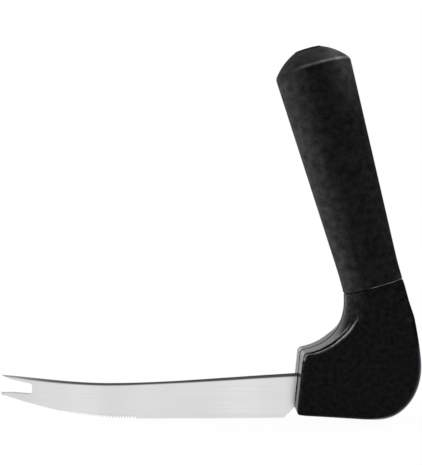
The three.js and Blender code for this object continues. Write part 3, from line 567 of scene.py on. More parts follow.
# Shares of the bare spine's length from the tip, each with the width in mm there of the band of darker steel
# and painted shade
SHADE_BAND_WIDTHS = [
    (0, 0.2), (0.03, 0.4), (0.07, 0.7), (0.11, 0.92), (0.16, 1), (0.25, 0.94), (0.4, 0.9), (0.52, 0.8),
    (0.66, 0.96), (0.8, 1.16), (1, 1.28),
]
# Shares of the whole spine's length, each with how dark the band of steel and painted shade is there
SHADE_BAND_DARKNESS = [(0, 0.6), (0.08, 0.8), (0.16, 0.95), (0.3, 1), (0.6, 1), (1, 1)]


def follow(tree, value, points):
    """Reads a value off a curve through points whose coordinates lie between nought and one."""
    made = add_node(tree, "ShaderNodeFloatCurve", {"Value": value})
    line = made.mapping.curves[0]
    line.points[0].location, line.points[1].location = points[0], points[-1]
    for place, height in points[1:-1]:
        line.points.new(place, height)
    made.mapping.update()
    return made.outputs["Value"]


axis = add_node(tree, "ShaderNodeSeparateXYZ", {0: spot}).outputs
spine_start, spine_end = spine_line[0][0], spine_line[-1][0]
spine_length = spine_end - spine_start
spine_low, spine_high = min(z for _, z in spine_line), max(z for _, z in spine_line)
passed = rescaled(tree, axis["X"], spine_start, spine_end, 0, 1)
line = [((x - spine_start) / spine_length, (z - spine_low) / (spine_high - spine_low)) for x, z in spine_line]
spine_height = rescaled(tree, follow(tree, passed, line), 0, 1, spine_low, spine_high)
below_spine = maths(tree, "SUBTRACT", spine_height, axis["Z"])
bare_share = (HANDLE_FRONT * MM - spine_start) / spine_length
widths = [(share * bare_share, width * MM / WIDEST_SHADE_BAND) for share, width in SHADE_BAND_WIDTHS]
half_fade = maths(tree, "MULTIPLY", follow(tree, passed, [*widths, (1, widths[-1][1])]), WIDEST_SHADE_BAND)
fade_from = maths(tree, "SUBTRACT", half_fade, SHADE_BAND_SOFTNESS)
fade_to = maths(tree, "ADD", half_fade, SHADE_BAND_SOFTNESS)
# The band runs from the spine's corners down onto the flat side, where it is painted shade
shade_band = rescaled(tree, below_spine, fade_from, fade_to, 1, 0)
spine_shade_band = maths(tree, "MULTIPLY", shade_band, follow(tree, passed, SHADE_BAND_DARKNESS))
print("the bare spine is", round(bare_share * spine_length / MM, 1), "mm long")

# %% Colour and polish of the steel
DARK_STEEL_AND_SHADE_GREY = grey(0.085)
DARKENED_DULLNESS = 0.2
STEEL_ROUGHNESS = (0.3, 0.4)
STEEL_BUMP = 0.15

# The spine's band of darker steel and painted shade, and the painted fork walls, darken the steel here
dark_steel_and_shade = maths(tree, "MAXIMUM", spine_shade_band, painted_mask(tree, "fork_wall"))
tree.links.new(tint(tree, dark_steel_and_shade, clouded, DARK_STEEL_AND_SHADE_GREY), shader["Base Color"])
polish = rescaled(tree, brushed["Shade"], 0, 1, *STEEL_ROUGHNESS)
tree.links.new(maths(tree, "MULTIPLY_ADD", dark_steel_and_shade, DARKENED_DULLNESS, polish), shader["Roughness"])
tree.links.new(bumped(tree, brushed["Height"], STEEL_BUMP, SCRATCH_DEPTH), shader["Normal"])
print("the steel has", len(tree.nodes), "nodes")

# %% Blade
SPINE_ROUND = 0.8 * MM
ROUND_STEPS = 4
ROUND_PROFILE = 0.5
LOWEST_WALL = 8 * MM
FORK_START = -80 * MM
WALL_UPWARDS = 0.5
WALL_DARKNESS = 0.5

bmesh.ops.bevel(
    work,
    geom=spine_corners,
    offset=SPINE_ROUND,
    offset_type="OFFSET",
    segments=ROUND_STEPS,
    profile=ROUND_PROFILE,
    affect="EDGES",
)
blade_mesh = bpy.data.meshes.new("blade")
work.to_mesh(blade_mesh)
work.free()


def in_fork(face):
    """A face at the fork, high on the blade, that looks up and is painted darker."""
    return face.normal.z > WALL_UPWARDS and face.center.x < FORK_START and face.center.z > LOWEST_WALL


blade_mesh.attributes.new("fork_wall", "FLOAT", "FACE").data.foreach_set(
    "value", [WALL_DARKNESS if in_fork(face) else 0 for face in blade_mesh.polygons]
)
finish_piece("blade", blade_mesh, blade_steel)

# %% [markdown]
# ## Moulded body
# The body is two mirror-image halves. Its section changes all the way: an oval under the sleeve, and
# lower down a raised flat cheek with a ridge, a channel and a narrow rim in front. Sculpting could give
# the look, but not the exact fit. So the same sections that the CAD solid is drawn from are drawn again,
# much closer together, and skinned. Each half is a closed skin, with a small rounding along the parting
# line that shows as a dark groove. The gap between the halves is narrower than in the solid, so that no
# light shines through it.

# %% Curves in the knife's plane
def heading(degrees):
    return Vector((math.cos(math.radians(degrees)), math.sin(math.radians(degrees))))


def left_of(direction):
    return Vector((-direction.y, direction.x))


def bezier(points, share):
    """The point of a Bezier curve with any number of control points."""
    while len(points) > 1:
        points = [first.lerp(second, share) for first, second in zip(points, points[1:])]
    return points[0]


def bezier_heading(points, share):
    return bezier([second - first for first, second in zip(points, points[1:])], share).normalized()


def mix(low, high, share):
    return low + (high - low) * share


def ease(value, low, high):
    share = min(max((value - low) / (high - low), 0), 1)
    return share * share * (3 - 2 * share)


def shares(steps):
    return [step / steps for step in range(steps + 1)]


# %% Seam and grip
GRIP_LEAN = 15.4
GRIP_LENGTH = 102.2
GRIP_FOOT_HALF_WIDTH = 13
GRIP_TOP_HALF_WIDTH = 17.45
FOOT_FLARE = 0.5
SEAM_SETBACK = 34.01
SEAM_HEIGHT = 60.2
SEAM_HALF_WIDTH = 13.5
SEAM_HALF_DEPTH = 9.8

grip_up, grip_across = heading(90 + GRIP_LEAN), heading(GRIP_LEAN)
grip_taper = math.degrees(math.atan2(GRIP_TOP_HALF_WIDTH - GRIP_FOOT_HALF_WIDTH, GRIP_LENGTH))
seam_centre = Vector((SEAM_SETBACK, SEAM_HEIGHT))
seam_front = seam_centre - grip_across * SEAM_HALF_WIDTH
seam_rear = seam_centre + grip_across * SEAM_HALF_WIDTH
grip_foot = seam_front + grip_across * (FOOT_FLARE + GRIP_FOOT_HALF_WIDTH)


def placed(point, y):
    """A point whose x starts at the handle's front face, at a distance y from the knife's plane."""
    return Vector((HANDLE_FRONT + point.x, y, point.y)) * MM


def in_plane(place):
    return Vector((place.x / MM - HANDLE_FRONT, place.z / MM))


print("the grip tapers by", round(grip_taper, 2), "degrees on each side")

# %% Front outline of the body
FRONT_LEAN = 6.2
FRONT_DATUM_HEIGHT = 20.4
BLOCK_HEIGHT = 31.1
BLOCK_TOP_SLOPE = 11.7
BLOCK_CORNER = 1.6
BASE_FRONT_HEIGHT = 3.7
BASE_SLOPE = 3.7
BASE_LENGTH = 38.6
BASE_CORNER = 2.7
NECK_TURN = 12.9
NECK_PULL = 18.7


def front_face(height):
    return Vector(((height - FRONT_DATUM_HEIGHT) * math.tan(math.radians(FRONT_LEAN)), height))


base_along, top_along = heading(-BASE_SLOPE), heading(BLOCK_TOP_SLOPE)
base_front = front_face(BASE_FRONT_HEIGHT)
base_start = base_front + base_along * BASE_CORNER
base_rear = base_front + base_along * BASE_LENGTH
block_corner = front_face(BLOCK_HEIGHT)
top_end = block_corner + top_along * BLOCK_CORNER
face_top = front_face(BLOCK_HEIGHT - BLOCK_CORNER)
face_end = front_face(BASE_FRONT_HEIGHT + BASE_CORNER)
neck_pull = seam_front + heading(GRIP_LEAN + grip_taper - 90 - NECK_TURN) * NECK_PULL
print("the front face is", round((face_top - face_end).length, 1), "mm high")

# %% Rear outline of the body
BODY_DEPTH = 54.42
REARMOST_HEIGHT = 25.2
REAR_SEAM_TURN = 11
REAR_SEAM_PULL = 6.2
REAR_UPPER_PULL = 7.6
REAR_LOWER_PULL = 17.1
BASE_PULL = 5.2
REAR_SAMPLES = 200

rearmost = Vector((BODY_DEPTH, REARMOST_HEIGHT))
rear_curves = [
    [
        seam_rear,
        seam_rear + heading(GRIP_LEAN - grip_taper - 90 + REAR_SEAM_TURN) * REAR_SEAM_PULL,
        rearmost + heading(90) * REAR_UPPER_PULL,
        rearmost,
    ],
    [rearmost, rearmost + heading(-90) * REAR_LOWER_PULL, base_rear + base_along * BASE_PULL, base_rear],
]
rear_line = [
    (bezier(curve, share), bezier_heading(curve, share))
    for curve in rear_curves
    for share in shares(REAR_SAMPLES)
]
rear_passed = [0.0]
for (before, _), (after, _) in zip(rear_line, rear_line[1:]):
    rear_passed.append(rear_passed[-1] + (after - before).length)


def rear_at(share):
    """The point and heading of the rear outline after a share of its length, from the seam to the base."""
    wanted = share * rear_passed[-1]
    last = len(rear_passed) - 2
    step = next((i for i, passed in enumerate(rear_passed[1:]) if passed >= wanted), last)
    span = rear_passed[step + 1] - rear_passed[step]
    part = (wanted - rear_passed[step]) / span if span else 0
    (point, direction), (next_point, next_direction) = rear_line[step], rear_line[step + 1]
    return point.lerp(next_point, part), direction.lerp(next_direction, part).normalized()


print("the rear outline is", round(rear_passed[-1], 1), "mm long")

# %% Sections of the body
BASE_ROUND = 2.4
STEEPEST_STRETCH = 2.6
BLOCK_PULL = 7.3
# Each run of the front has its control points, its count of sections, and the rear share that it ends at
FRONT_RUNS = [
    ([seam_front, neck_pull, top_end + top_along * BLOCK_PULL, top_end], 72, 0.47),
    ([top_end, block_corner, face_top], 10, 0.51),
    ([face_top, face_end], 24, 0.8),
    ([face_end, base_front, base_start], 30, 1.0),
]


def slant_stretch(direction, across):
    """How much longer a rounding is along a section that meets the outline at a slant."""
    return 1 / max(abs(direction.cross(across)), 1 / STEEPEST_STRETCH)


def section_at(run, share, rear_from):
    """The section that joins a point of the front outline to its partner on the rear one."""
    points, _, rear_to = FRONT_RUNS[run]
    front = bezier(points, share)
    back, back_heading = rear_at(mix(rear_from, rear_to, share))
    across = (back - front).normalized()
    centre = front.lerp(back, 0.5)
    rise = min(max((centre - base_front).dot(left_of(base_along)), 0), BASE_ROUND)
    return SimpleNamespace(
        centre=centre,
        across=across,
        half_width=(back - front).length / 2,
        front_stretch=slant_stretch(bezier_heading(points, share), across),
        back_stretch=slant_stretch(back_heading, across),
        down=share if run == 0 else 1,
        facing=0 if run == 0 else ease(run - 1 + share, 0, 1),
        fall=BASE_ROUND - math.sqrt(BASE_ROUND**2 - (BASE_ROUND - rise) ** 2),
    )


body_sections = []
rear_from = 0
for run, (_, steps, rear_to) in enumerate(FRONT_RUNS):
    body_sections += [section_at(run, share, rear_from) for share in shares(steps)[min(run, 1):]]
    rear_from = rear_to
print(len(body_sections), "sections from the seam to the base")

# %% Pieces of a section's line
SEAM_SQUARENESS = 2.5
HALF_PARTING = 0.04
PARTING_ROUND = 1.2
ARC_STEPS = 10


def on_oval(angle, squareness):
    """The point of a superellipse with half axes of one that lies in the direction of an angle."""
    across, along = math.cos(angle), math.sin(angle)
    size = (abs(across) ** squareness + abs(along) ** squareness) ** (-1 / squareness)
    return Vector((across * size, along * size))


def quarter_round(centre, length, depth, start):
    turns = [math.radians(start + 90 * share) for share in shares(ARC_STEPS)]
    return [centre + Vector((length * math.cos(turn), depth * math.sin(turn))) for turn in turns]


def between(start, end, steps):
    return [start.lerp(end, share) for share in shares(steps)[1:-1]]


def crowded(start, end, steps):
    """Points between two ends that lie closer together towards the start."""
    return [start.lerp(end, share * share) for share in shares(steps)[1:-1]]


def parted(side, depth):
    """Moves a side off the parting plane and rounds the two edges that meet the other half there."""
    squeeze = (depth - HALF_PARTING) / depth
    opened = []
    for point in side:
        away = point.y * squeeze
        inset = PARTING_ROUND - math.sqrt(PARTING_ROUND**2 - max(PARTING_ROUND - away, 0) ** 2)
        opened.append(Vector((point.x - math.copysign(inset, point.x), HALF_PARTING + away)))
    return opened


print("the halves stand", 2 * HALF_PARTING, "mm apart")

# %% One side of a section
CHEEK_HALF = 10.4
RIM_DROP = 1.5
FRONT_RIM_DROP = 0.5
RIM_ROUND = 0.4
RIM_TOP_ROUND = 2.4
RIM_ROUND_UNTIL = 0.2
RIM_SHARP_FROM = 0.62
CHANNEL_FRONT_FLOOR = 0.8
CHANNEL_TOP_FLOOR = 3.2
CHANNEL_WIDE_UNTIL = 0.15
CHANNEL_NARROW_FROM = 0.62
RIDGE_SHARE = 0.6
FACE_GROOVE = 0.15
FACE_SHOULDER_LENGTH = 1.2
REAR_ROUND_LENGTH = 4.5
REAR_ROUND_DEPTH = 6
OVAL_UNTIL = 0.15
CHEEKED_FROM = 0.55
FLAT_STEPS = 12
CHEEK_STEPS = 20


def section_side(section):
    """From the middle of the back round the cheek, ridge, channel and rim to the middle of the front."""
    half_width, stretch = section.half_width, section.front_stretch
    oval = 1 - ease(section.down, OVAL_UNTIL, CHEEKED_FROM)
    cheek = mix(CHEEK_HALF, SEAM_HALF_DEPTH, oval) - section.fall
    drop = mix(RIM_DROP, FRONT_RIM_DROP, section.facing)
    rim, ridge = cheek - drop, drop * mix(RIDGE_SHARE, 1, section.facing)
    ridge_length = mix(ridge, FACE_SHOULDER_LENGTH, section.facing)
    rim_radius = mix(RIM_TOP_ROUND, RIM_ROUND, ease(section.down, RIM_ROUND_UNTIL, RIM_SHARP_FROM))
    rim_length = rim_radius * stretch
    narrowing = ease(section.down, CHANNEL_WIDE_UNTIL, CHANNEL_NARROW_FROM)
    channel = mix(CHANNEL_TOP_FLOOR, CHANNEL_FRONT_FLOOR, narrowing)
    ridge_foot = (RIM_ROUND + mix(channel, FACE_GROOVE, section.facing)) * stretch - half_width
    back_length = REAR_ROUND_LENGTH * section.back_stretch
    back_depth = REAR_ROUND_DEPTH - section.fall
    back_centre = Vector((half_width - back_length, cheek - back_depth))
    ridge_centre = Vector((ridge_foot + ridge_length, cheek - ridge))
    rim_centre = Vector((rim_length - half_width, rim - rim_radius))
    back = quarter_round(back_centre, back_length, back_depth, 0)
    ridge_round = quarter_round(ridge_centre, ridge_length, ridge, 90)
    rim_round = quarter_round(rim_centre, rim_length, rim_radius, 90)
    back_middle, front_middle = Vector((half_width, 0)), Vector((-half_width, 0))
    sharp = [back_middle, *crowded(back_middle, back[0], FLAT_STEPS), *back]
    sharp += [*between(back[-1], ridge_round[0], CHEEK_STEPS), *ridge_round, Vector((ridge_foot, rim))]
    sharp += [*rim_round, *crowded(front_middle, rim_round[-1], FLAT_STEPS)[::-1], front_middle]
    side = []
    for point in sharp:
        full = on_oval(math.atan2(point.y / cheek, point.x / half_width), SEAM_SQUARENESS)
        side.append(point.lerp(Vector((full.x * half_width, full.y * cheek)), oval))
    return parted(side, cheek)


print(len(section_side(body_sections[0])), "points on each side of a section")

# %% Skin over rings
def face_outwards(mesh):
    work = bmesh.new()
    work.from_mesh(mesh)
    bmesh.ops.recalc_face_normals(work, faces=work.faces)
    work.to_mesh(mesh)
    work.free()


def skin(rings):
    """A closed mesh over rings of equally many points, with a flat cap at both ends."""
    count = len(rings[0])
    last = (len(rings) - 1) * count
    faces = [list(range(count))[::-1], list(range(last, last + count))]
    for low in range(0, last, count):
        for i in range(count):
            j = (i + 1) % count
            faces.append((low + i, low + j, low + count + j, low + count + i))
    mesh = bpy.data.meshes.new("skin")
    mesh.from_pydata([point for ring in rings for point in ring], [], faces)
    face_outwards(mesh)
    return mesh


# %% Rings of one half
POST_HALF_DEPTH = 6.6
POST_DRAFT = 0.4
SLEEVE_WALL = 3
SEAT_GAP = 0.3
CROWN_HEIGHT = 8.85
CROWN_WALL = 7
SEAM_EASE = 0.35
EASED_SHARE = 0.3
LEDGE_RISE = 0.05
UNSCALED = Vector((1, 1))

crown_top = GRIP_LENGTH + CROWN_HEIGHT
post_length = crown_top - CROWN_WALL
post_half_width = GRIP_FOOT_HALF_WIDTH - SLEEVE_WALL - SEAT_GAP


def post_size(height):
    draft = height * math.tan(math.radians(POST_DRAFT))
    return post_half_width - draft, POST_HALF_DEPTH - draft


def ring(side, centre, across, side_sign, scale=UNSCALED):
    """One side of a section, put in its place in the frame."""
    return [placed(centre + across * point.x * scale.x, side_sign * point.y * scale.y) for point in side]


def half_rings(side_sign):
    """Rings of one half, from the top of the post down over the seam's ledge to the base."""
    seam_side = section_side(body_sections[0])
    rings = []
    for height in (post_length, LEDGE_RISE):
        half_width, half_depth = post_size(height)
        scale = Vector((half_width / SEAM_HALF_WIDTH, half_depth / SEAM_HALF_DEPTH))
        rings.append(ring(seam_side, grip_foot + grip_up * height, grip_across, side_sign, scale))
    for step, inset in ((0, SEAM_EASE), (EASED_SHARE, EASED_SHARE * SEAM_EASE)):
        scale = Vector((1 - inset / SEAM_HALF_WIDTH, 1 - inset / SEAM_HALF_DEPTH))
        centre = seam_centre - grip_up * step * SEAM_EASE
        rings.append(ring(seam_side, centre, grip_across, side_sign, scale))
    for section in body_sections[1:]:
        rings.append(ring(section_side(section), section.centre, section.across, side_sign))
    return rings


print("the post is", round(post_length, 1), "mm long")

# %% Rooms for the tang, pins and screws
HEEL_SPINE_HEIGHT = 20.6
HEEL_REACH = 6.7
TANG_LOWER_HEIGHT = 7.2
TANG_END_HEIGHT = 9
TANG_LENGTH = 36
TANG_ROOM_HALF = 1.0
CIRCLE_STEPS = 32
ROOM_GAP = 0.2
PINS_AND_SCREWS = ["front_tang_pin", "rear_tang_pin", "lower_post_screw", "upper_post_screw"]


def across_knife(outline, y_low, y_high):
    return skin([[placed(point, y) for point in outline] for y in (y_low, y_high)])


def circle(centre, radius):
    return [centre + heading(360 * share) * radius for share in shares(CIRCLE_STEPS)[:-1]]


def fastener_room(node):
    """A round room about a CAD pin or screw, a little larger than it."""
    low, high = (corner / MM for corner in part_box(node))
    centre = Vector(((low.x + high.x) / 2 - HANDLE_FRONT, (low.z + high.z) / 2))
    outline = circle(centre, (high.x - low.x) / 2 + ROOM_GAP)
    return across_knife(outline, low.y - SEAT_GAP, high.y + SEAT_GAP)


tang_low = TANG_LOWER_HEIGHT - SEAT_GAP
tang_end = TANG_LENGTH + SEAT_GAP
tang_outline = [
    Vector((-HEEL_REACH, HEEL_SPINE_HEIGHT + SEAT_GAP)),
    Vector((-HEEL_REACH, tang_low)),
    Vector((tang_end, tang_low)),
    Vector((tang_end, TANG_LOWER_HEIGHT + TANG_END_HEIGHT + SEAT_GAP)),
    Vector((0, HEEL_SPINE_HEIGHT + SEAT_GAP)),
]
rooms = [across_knife(tang_outline, -TANG_ROOM_HALF, TANG_ROOM_HALF)]
rooms += [fastener_room(node) for node in PINS_AND_SCREWS]
print(len(rooms), "rooms inside the body")

# %% Left and right half
SEAM_SHELTER = 2
BLOCK_TOP_SHELTER = 2.6


def cut_out(mesh, tools):
    """The mesh less every tool, as a plain mesh."""
    holder = bpy.data.objects.new("uncut", mesh)
    scene.collection.objects.link(holder)
    cutters = []
    for tool in tools:
        cutter = bpy.data.objects.new("cutter", tool)
        scene.collection.objects.link(cutter)
        cutters.append(cutter)
        cut = holder.modifiers.new("cut", "BOOLEAN")
        cut.operation, cut.solver, cut.object = "DIFFERENCE", "EXACT", cutter
    bpy.context.view_layer.update()
    graph = bpy.context.evaluated_depsgraph_get()
    result = bpy.data.meshes.new_from_object(holder.evaluated_get(graph))
    for item in [holder, *cutters]:
        bpy.data.objects.remove(item)
    return result


def shell_wear_and_highlight(place, edge):
    """Wear and painted highlight on tight bends, left out inside the parting groove, close under the sleeve,
    and on the front face and the base.
    """
    below_seam = (seam_centre - in_plane(place)).dot(grip_up)
    in_groove = abs(place.y) / MM < HALF_PARTING + PARTING_ROUND
    below_block_top = in_plane(place).y < BLOCK_HEIGHT - BLOCK_TOP_SHELTER
    return 0 if in_groove or below_block_top or below_seam < SEAM_SHELTER else edge


for name, side_sign in (("left_shell", -1), ("right_shell", 1)):
    half_mesh = cut_out(skin(half_rings(side_sign)), rooms)
    finish_piece(name, half_mesh, body_plastic, shell_wear_and_highlight)

# %% [markdown]
# ## Soft sleeve and end plug
# Both pieces follow one rule: an oval that changes size as it climbs the leaning axis of the grip. A spin
# would only give round rings, so a small Geometry Nodes tree sweeps the oval. It reads a profile line
# whose points say how wide, how deep and how square the oval is and how high it stands. The sleeve is the
# soft tapered cup with its crown, and the plug is the low disc with its stem.

# %% Net and profile of the oval sweep
PROFILE_SIZES = ["half_width", "half_depth", "rise", "squareness"]
FULL_TURN = 2 * math.pi
HALF_NET = 0.5

oval_sweep, takes, gives = new_group(
    "oval_sweep",
    "GeometryNodeTree",
    {
        "Profile": ("NodeSocketGeometry", None),
        "Sides": ("NodeSocketInt", 96),
        "Foot": ("NodeSocketVector", None),
        "Lean": ("NodeSocketFloat", 0),
        "Finish": ("NodeSocketMaterial", None),
    },
    {"Piece": "NodeSocketGeometry"},
)


def sweep_maths(operation, *values):
    return maths(oval_sweep, operation, *values)


profile = {"Geometry": takes["Profile"]}
count = add_node(oval_sweep, "GeometryNodeAttributeDomainSize", profile).outputs["Point Count"]
columns = sweep_maths("ADD", takes["Sides"], 1)
net_size = {"Size X": 1, "Size Y": 1, "Vertices X": columns, "Vertices Y": count}
net = add_node(oval_sweep, "GeometryNodeMeshGrid", net_size).outputs["Mesh"]
place = add_node(oval_sweep, "GeometryNodeInputPosition").outputs[0]
spot = add_node(oval_sweep, "ShaderNodeSeparateXYZ", {0: place}).outputs
turn = sweep_maths("MULTIPLY", sweep_maths("ADD", spot["X"], HALF_NET), FULL_TURN)
climbed = sweep_maths("MULTIPLY", sweep_maths("ADD", spot["Y"], HALF_NET), sweep_maths("SUBTRACT", count, 1))
row = sweep_maths("ROUND", climbed)
size = {}
for name in PROFILE_SIZES:
    named = add_node(oval_sweep, "GeometryNodeInputNamedAttribute", {"Name": name}, data_type="FLOAT")
    values = {**profile, "Value": named.outputs[0], "Index": row}
    size[name] = add_node(oval_sweep, "GeometryNodeSampleIndex", values, data_type="FLOAT").outputs[0]
print("each point of the net reads", list(size))

# %% Ovals of the sweep
MERGE_DISTANCE = 0.001 * MM

cosine, sine = sweep_maths("COSINE", turn), sweep_maths("SINE", turn)
powers = [
    sweep_maths("POWER", sweep_maths("ABSOLUTE", value), size["squareness"]) for value in (cosine, sine)
]
swell = sweep_maths("POWER", sweep_maths("ADD", *powers), sweep_maths("DIVIDE", -1, size["squareness"]))
across = sweep_maths("MULTIPLY", sweep_maths("MULTIPLY", cosine, swell), size["half_width"])
aside = sweep_maths("MULTIPLY", sweep_maths("MULTIPLY", sine, swell), size["half_depth"])
upright = add_node(oval_sweep, "ShaderNodeCombineXYZ", {"X": across, "Y": aside, "Z": size["rise"]})
lean = {"Vector": upright.outputs[0], "Angle": takes["Lean"]}
leaning = add_node(oval_sweep, "ShaderNodeVectorRotate", lean, rotation_type="Y_AXIS").outputs[0]
moved = {0: leaning, 1: takes["Foot"]}
standing = add_node(oval_sweep, "ShaderNodeVectorMath", moved, operation="ADD").outputs[0]
swept = add_node(oval_sweep, "GeometryNodeSetPosition", {"Geometry": net, "Position": standing}).outputs[0]
merging = {"Geometry": swept, "Distance": MERGE_DISTANCE}
closed = add_node(oval_sweep, "GeometryNodeMergeByDistance", merging).outputs[0]
real = add_node(oval_sweep, "GeometryNodeRealizeInstances", {"Geometry": closed}).outputs[0]
dressing = {"Geometry": real, "Material": takes["Finish"]}
dressed = add_node(oval_sweep, "GeometryNodeSetMaterial", dressing).outputs[0]
oval_sweep.links.new(dressed, gives["Piece"])
print(oval_sweep.name, "has", len(oval_sweep.nodes), "nodes")

# %% Sweeping a profile
def sweep(profile, finish, sides):
    """Runs the tree on a profile of ovals in mm, and gives a plain mesh."""
    line = bpy.data.meshes.new("profile")
    points = [(half_width * MM, 0, rise * MM) for half_width, _, rise, _ in profile]
    line.from_pydata(points, [(i, i + 1) for i in range(len(points) - 1)], [])
    units = (MM, MM, MM, 1)
    for column, name in enumerate(PROFILE_SIZES):
        values = [point[column] * units[column] for point in profile]
        line.attributes.new(name, "FLOAT", "POINT").data.foreach_set("value", values)
    holder = bpy.data.objects.new("profile", line)
    scene.collection.objects.link(holder)
    modifier = holder.modifiers.new("oval_sweep", "NODES")
    modifier.node_group = oval_sweep
    sockets = oval_sweep.interface.items_tree
    named = {socket.name: socket.identifier for socket in sockets if socket.in_out == "INPUT"}
    modifier[named["Sides"]] = sides
    modifier[named["Foot"]] = placed(grip_foot, 0)
    modifier[named["Lean"]] = math.radians(-GRIP_LEAN)
    modifier[named["Finish"]] = finish
    bpy.context.view_layer.update()
    graph = bpy.context.evaluated_depsgraph_get()
    mesh = bpy.data.meshes.new_from_object(holder.evaluated_get(graph))
    bpy.data.objects.remove(holder)
    face_outwards(mesh)
    return mesh


# %% Outside of the sleeve
ROUND = 2
GRIP_TOP_HALF_DEPTH = 12.4
FLARE_HEIGHT = 12.6
CROWN_FLAT_HALF_WIDTH = 6.75
CROWN_FLAT_HALF_DEPTH = 3.4
CROWN_FULLNESS = 1.8
HEM_ROUND = 0.4
SHOULDER_ROUND = 1
GRIP_STEPS = 60
CROWN_STEPS = 24
EASE_STEPS = 4


def oval(half_width, half_depth, rise, squareness=ROUND):
    return (half_width, half_depth, rise, squareness)


def grip_oval(rise, inset=0):
    """The sleeve's outside below its shoulder, with the foot flared out to the seam."""
    share = (rise - SEAT_GAP) / (GRIP_LENGTH - SEAT_GAP)
    flare = FOOT_FLARE * max(1 - rise / FLARE_HEIGHT, 0) ** 2
    return oval(
        mix(GRIP_FOOT_HALF_WIDTH, GRIP_TOP_HALF_WIDTH, share) + flare - inset,
        mix(SEAM_HALF_DEPTH, GRIP_TOP_HALF_DEPTH, share) - inset,
        rise,
        mix(SEAM_SQUARENESS, ROUND, share),
    )


def crown_oval(point):
    share = (GRIP_TOP_HALF_WIDTH - point.x) / (GRIP_TOP_HALF_WIDTH - CROWN_FLAT_HALF_WIDTH)
    return oval(point.x, mix(GRIP_TOP_HALF_DEPTH, CROWN_FLAT_HALF_DEPTH, share), point.y)


shoulder = Vector((GRIP_TOP_HALF_WIDTH, GRIP_LENGTH))
flat_rim = Vector((CROWN_FLAT_HALF_WIDTH, crown_top))
fullest = shoulder.lerp(flat_rim, 0.5) - left_of((flat_rim - shoulder).normalized()) * CROWN_FULLNESS
crown_curve = [shoulder, fullest, flat_rim]
hem = []
for share in shares(EASE_STEPS):
    turn = math.radians(90 * share)
    hem.append(grip_oval(SEAT_GAP + HEM_ROUND * (1 - math.cos(turn)), HEM_ROUND * (1 - math.sin(turn))))
straight_end = GRIP_LENGTH - SHOULDER_ROUND
straight = [grip_oval(mix(SEAT_GAP + HEM_ROUND, straight_end, share)) for share in shares(GRIP_STEPS)]
crown_start = SHOULDER_ROUND / (flat_rim - shoulder).length
below = Vector((grip_oval(straight_end)[0], straight_end))
shoulder_curve = [below, shoulder, bezier(crown_curve, crown_start)]
rounding = [bezier(shoulder_curve, share) for share in shares(EASE_STEPS)]
crown = [bezier(crown_curve, mix(crown_start, 1, share)) for share in shares(CROWN_STEPS)]
outside = [*hem, *straight[1:], *[crown_oval(point) for point in [*rounding[1:], *crown[1:]]]]
print(len(outside), "ovals on the outside of the sleeve")

# %% Inside of the sleeve
PLUG_HALF_WIDTH = 6.2
PLUG_HALF_DEPTH = 2.8
PLUG_SINK = 0.55
PLUG_GAP = 0.2
STEM_BORE = 2.3
SLEEVE_SIDES = 128

plug_seat = crown_top - PLUG_SINK
bore_end = post_length + SEAT_GAP
recess = (PLUG_HALF_WIDTH + PLUG_GAP, PLUG_HALF_DEPTH + PLUG_GAP)
inside = [oval(*recess, rise) for rise in (crown_top, plug_seat)]
inside += [oval(STEM_BORE, STEM_BORE, rise) for rise in (plug_seat, bore_end)]
for rise in (bore_end, SEAT_GAP):
    half_width, half_depth = post_size(rise)
    inside.append(oval(half_width + SEAT_GAP, half_depth + SEAT_GAP, rise, SEAM_SQUARENESS))
sleeve_mesh = sweep([inside[-1], *outside, *inside], grip_rubber, SLEEVE_SIDES)
print("the bore is", round(bore_end - SEAT_GAP, 1), "mm deep")

# %% Sleeve
# Painted light on the sleeve: highlights on the hem and shoulder, and paler rubber where light falls on the
# crown and below the shoulder at the rear
SHOULDER_BAND = 1
SHOULDER_BRIGHTEST = 11
SHOULDER_HIGHLIGHT = 0.45
SHOULDER_FADE = 24
CROWN_PAINTED_LIGHT = 0.16
PLUG_SHELTER = 0.9
LIGHT_BELOW_SHOULDER = 0.05
LIGHT_BELOW_SHOULDER_FROM = 72
LIGHT_BELOW_SHOULDER_WIDTH = 12
HEM_HIGHLIGHT = 0.36
HEM_HIGHLIGHT_FROM = -6


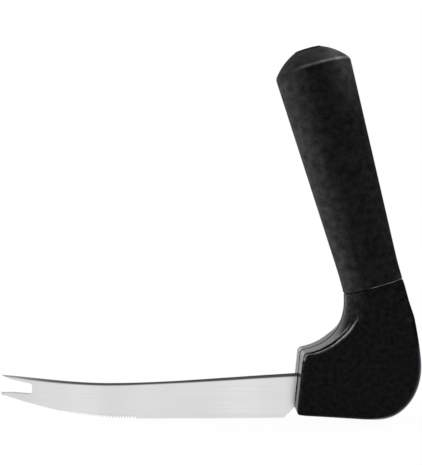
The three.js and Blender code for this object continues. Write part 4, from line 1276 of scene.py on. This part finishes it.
def sleeve_painted_light(place, edge):
    """Painted light: highlights on the hem and the shoulder, and paler rubber on the crown and below the
    shoulder, most towards the rear.
    """
    from_foot = in_plane(place) - grip_foot
    rise, across = from_foot.dot(grip_up), from_foot.dot(grip_across)
    if rise < GRIP_LENGTH / 2:
        return HEM_HIGHLIGHT * edge * ease(across, HEM_HIGHLIGHT_FROM, 0)
    if rise > crown_top - PLUG_SHELTER:
        return 0
    at_shoulder = 1 - ease(abs(rise - GRIP_LENGTH), 0, SHOULDER_BAND)
    from_palest = ease(abs(across - SHOULDER_BRIGHTEST), 0, SHOULDER_FADE)
    rear = ease(across, -GRIP_TOP_HALF_WIDTH, GRIP_TOP_HALF_WIDTH)
    shoulder_highlight = SHOULDER_HIGHLIGHT * at_shoulder * (1 - from_palest)
    light_below_shoulder = LIGHT_BELOW_SHOULDER * ease(rise, LIGHT_BELOW_SHOULDER_FROM, GRIP_LENGTH) * ease(across, 0, LIGHT_BELOW_SHOULDER_WIDTH)
    return max(shoulder_highlight, CROWN_PAINTED_LIGHT * rear**2 if rise > GRIP_LENGTH else light_below_shoulder)


finish_piece("grip_sleeve", sleeve_mesh, grip_rubber, sleeve_painted_light)

# %% End plug
PLUG_HEIGHT = 0.8
PLUG_ROUND = 0.36
STEM_RADIUS = 1.8
STEM_GRIP = 10
BARB = 0.3
BARB_COUNT = 3
PLUG_SIDES = 64

seat = plug_seat + SEAT_GAP
top = seat + PLUG_HEIGHT
stem_foot = post_length - STEM_GRIP
barb_pitch = STEM_GRIP / BARB_COUNT
plug_profile = [oval(0, 0, stem_foot)]
for barb in range(BARB_COUNT):
    low = stem_foot + barb * barb_pitch
    high = low + barb_pitch / 2
    for radius, rise in ((STEM_RADIUS, low), (STEM_RADIUS + BARB, high), (STEM_RADIUS, high)):
        plug_profile.append(oval(radius, radius, rise))
plug_profile += [oval(STEM_RADIUS, STEM_RADIUS, seat), oval(PLUG_HALF_WIDTH, PLUG_HALF_DEPTH, seat)]
for share in shares(EASE_STEPS):
    turn = math.radians(90 * share)
    inset = PLUG_ROUND * (1 - math.cos(turn))
    rise = top - PLUG_ROUND * (1 - math.sin(turn))
    plug_profile.append(oval(PLUG_HALF_WIDTH - inset, PLUG_HALF_DEPTH - inset, rise))
plug_profile.append(oval(0, 0, top))
finish_piece("end_plug", sweep(plug_profile, plug_plastic, PLUG_SIDES), plug_plastic)

# %% [markdown]
# ## Hidden fasteners
# Two pins hold the tang and two screws hold the halves together under the sleeve. Nobody sees them in the
# finished knife, so their CAD shape is kept and only gets its zinc finish.

# %% Pins and screws
for name in PINS_AND_SCREWS:
    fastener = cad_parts[name]
    fastener.data.materials.clear()
    fastener.data.materials.append(fastener_zinc)
print("kept:", PINS_AND_SCREWS)

# %% Finish
low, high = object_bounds()
print("visual box in mm:", [round(side / MM, 1) for side in high - low])
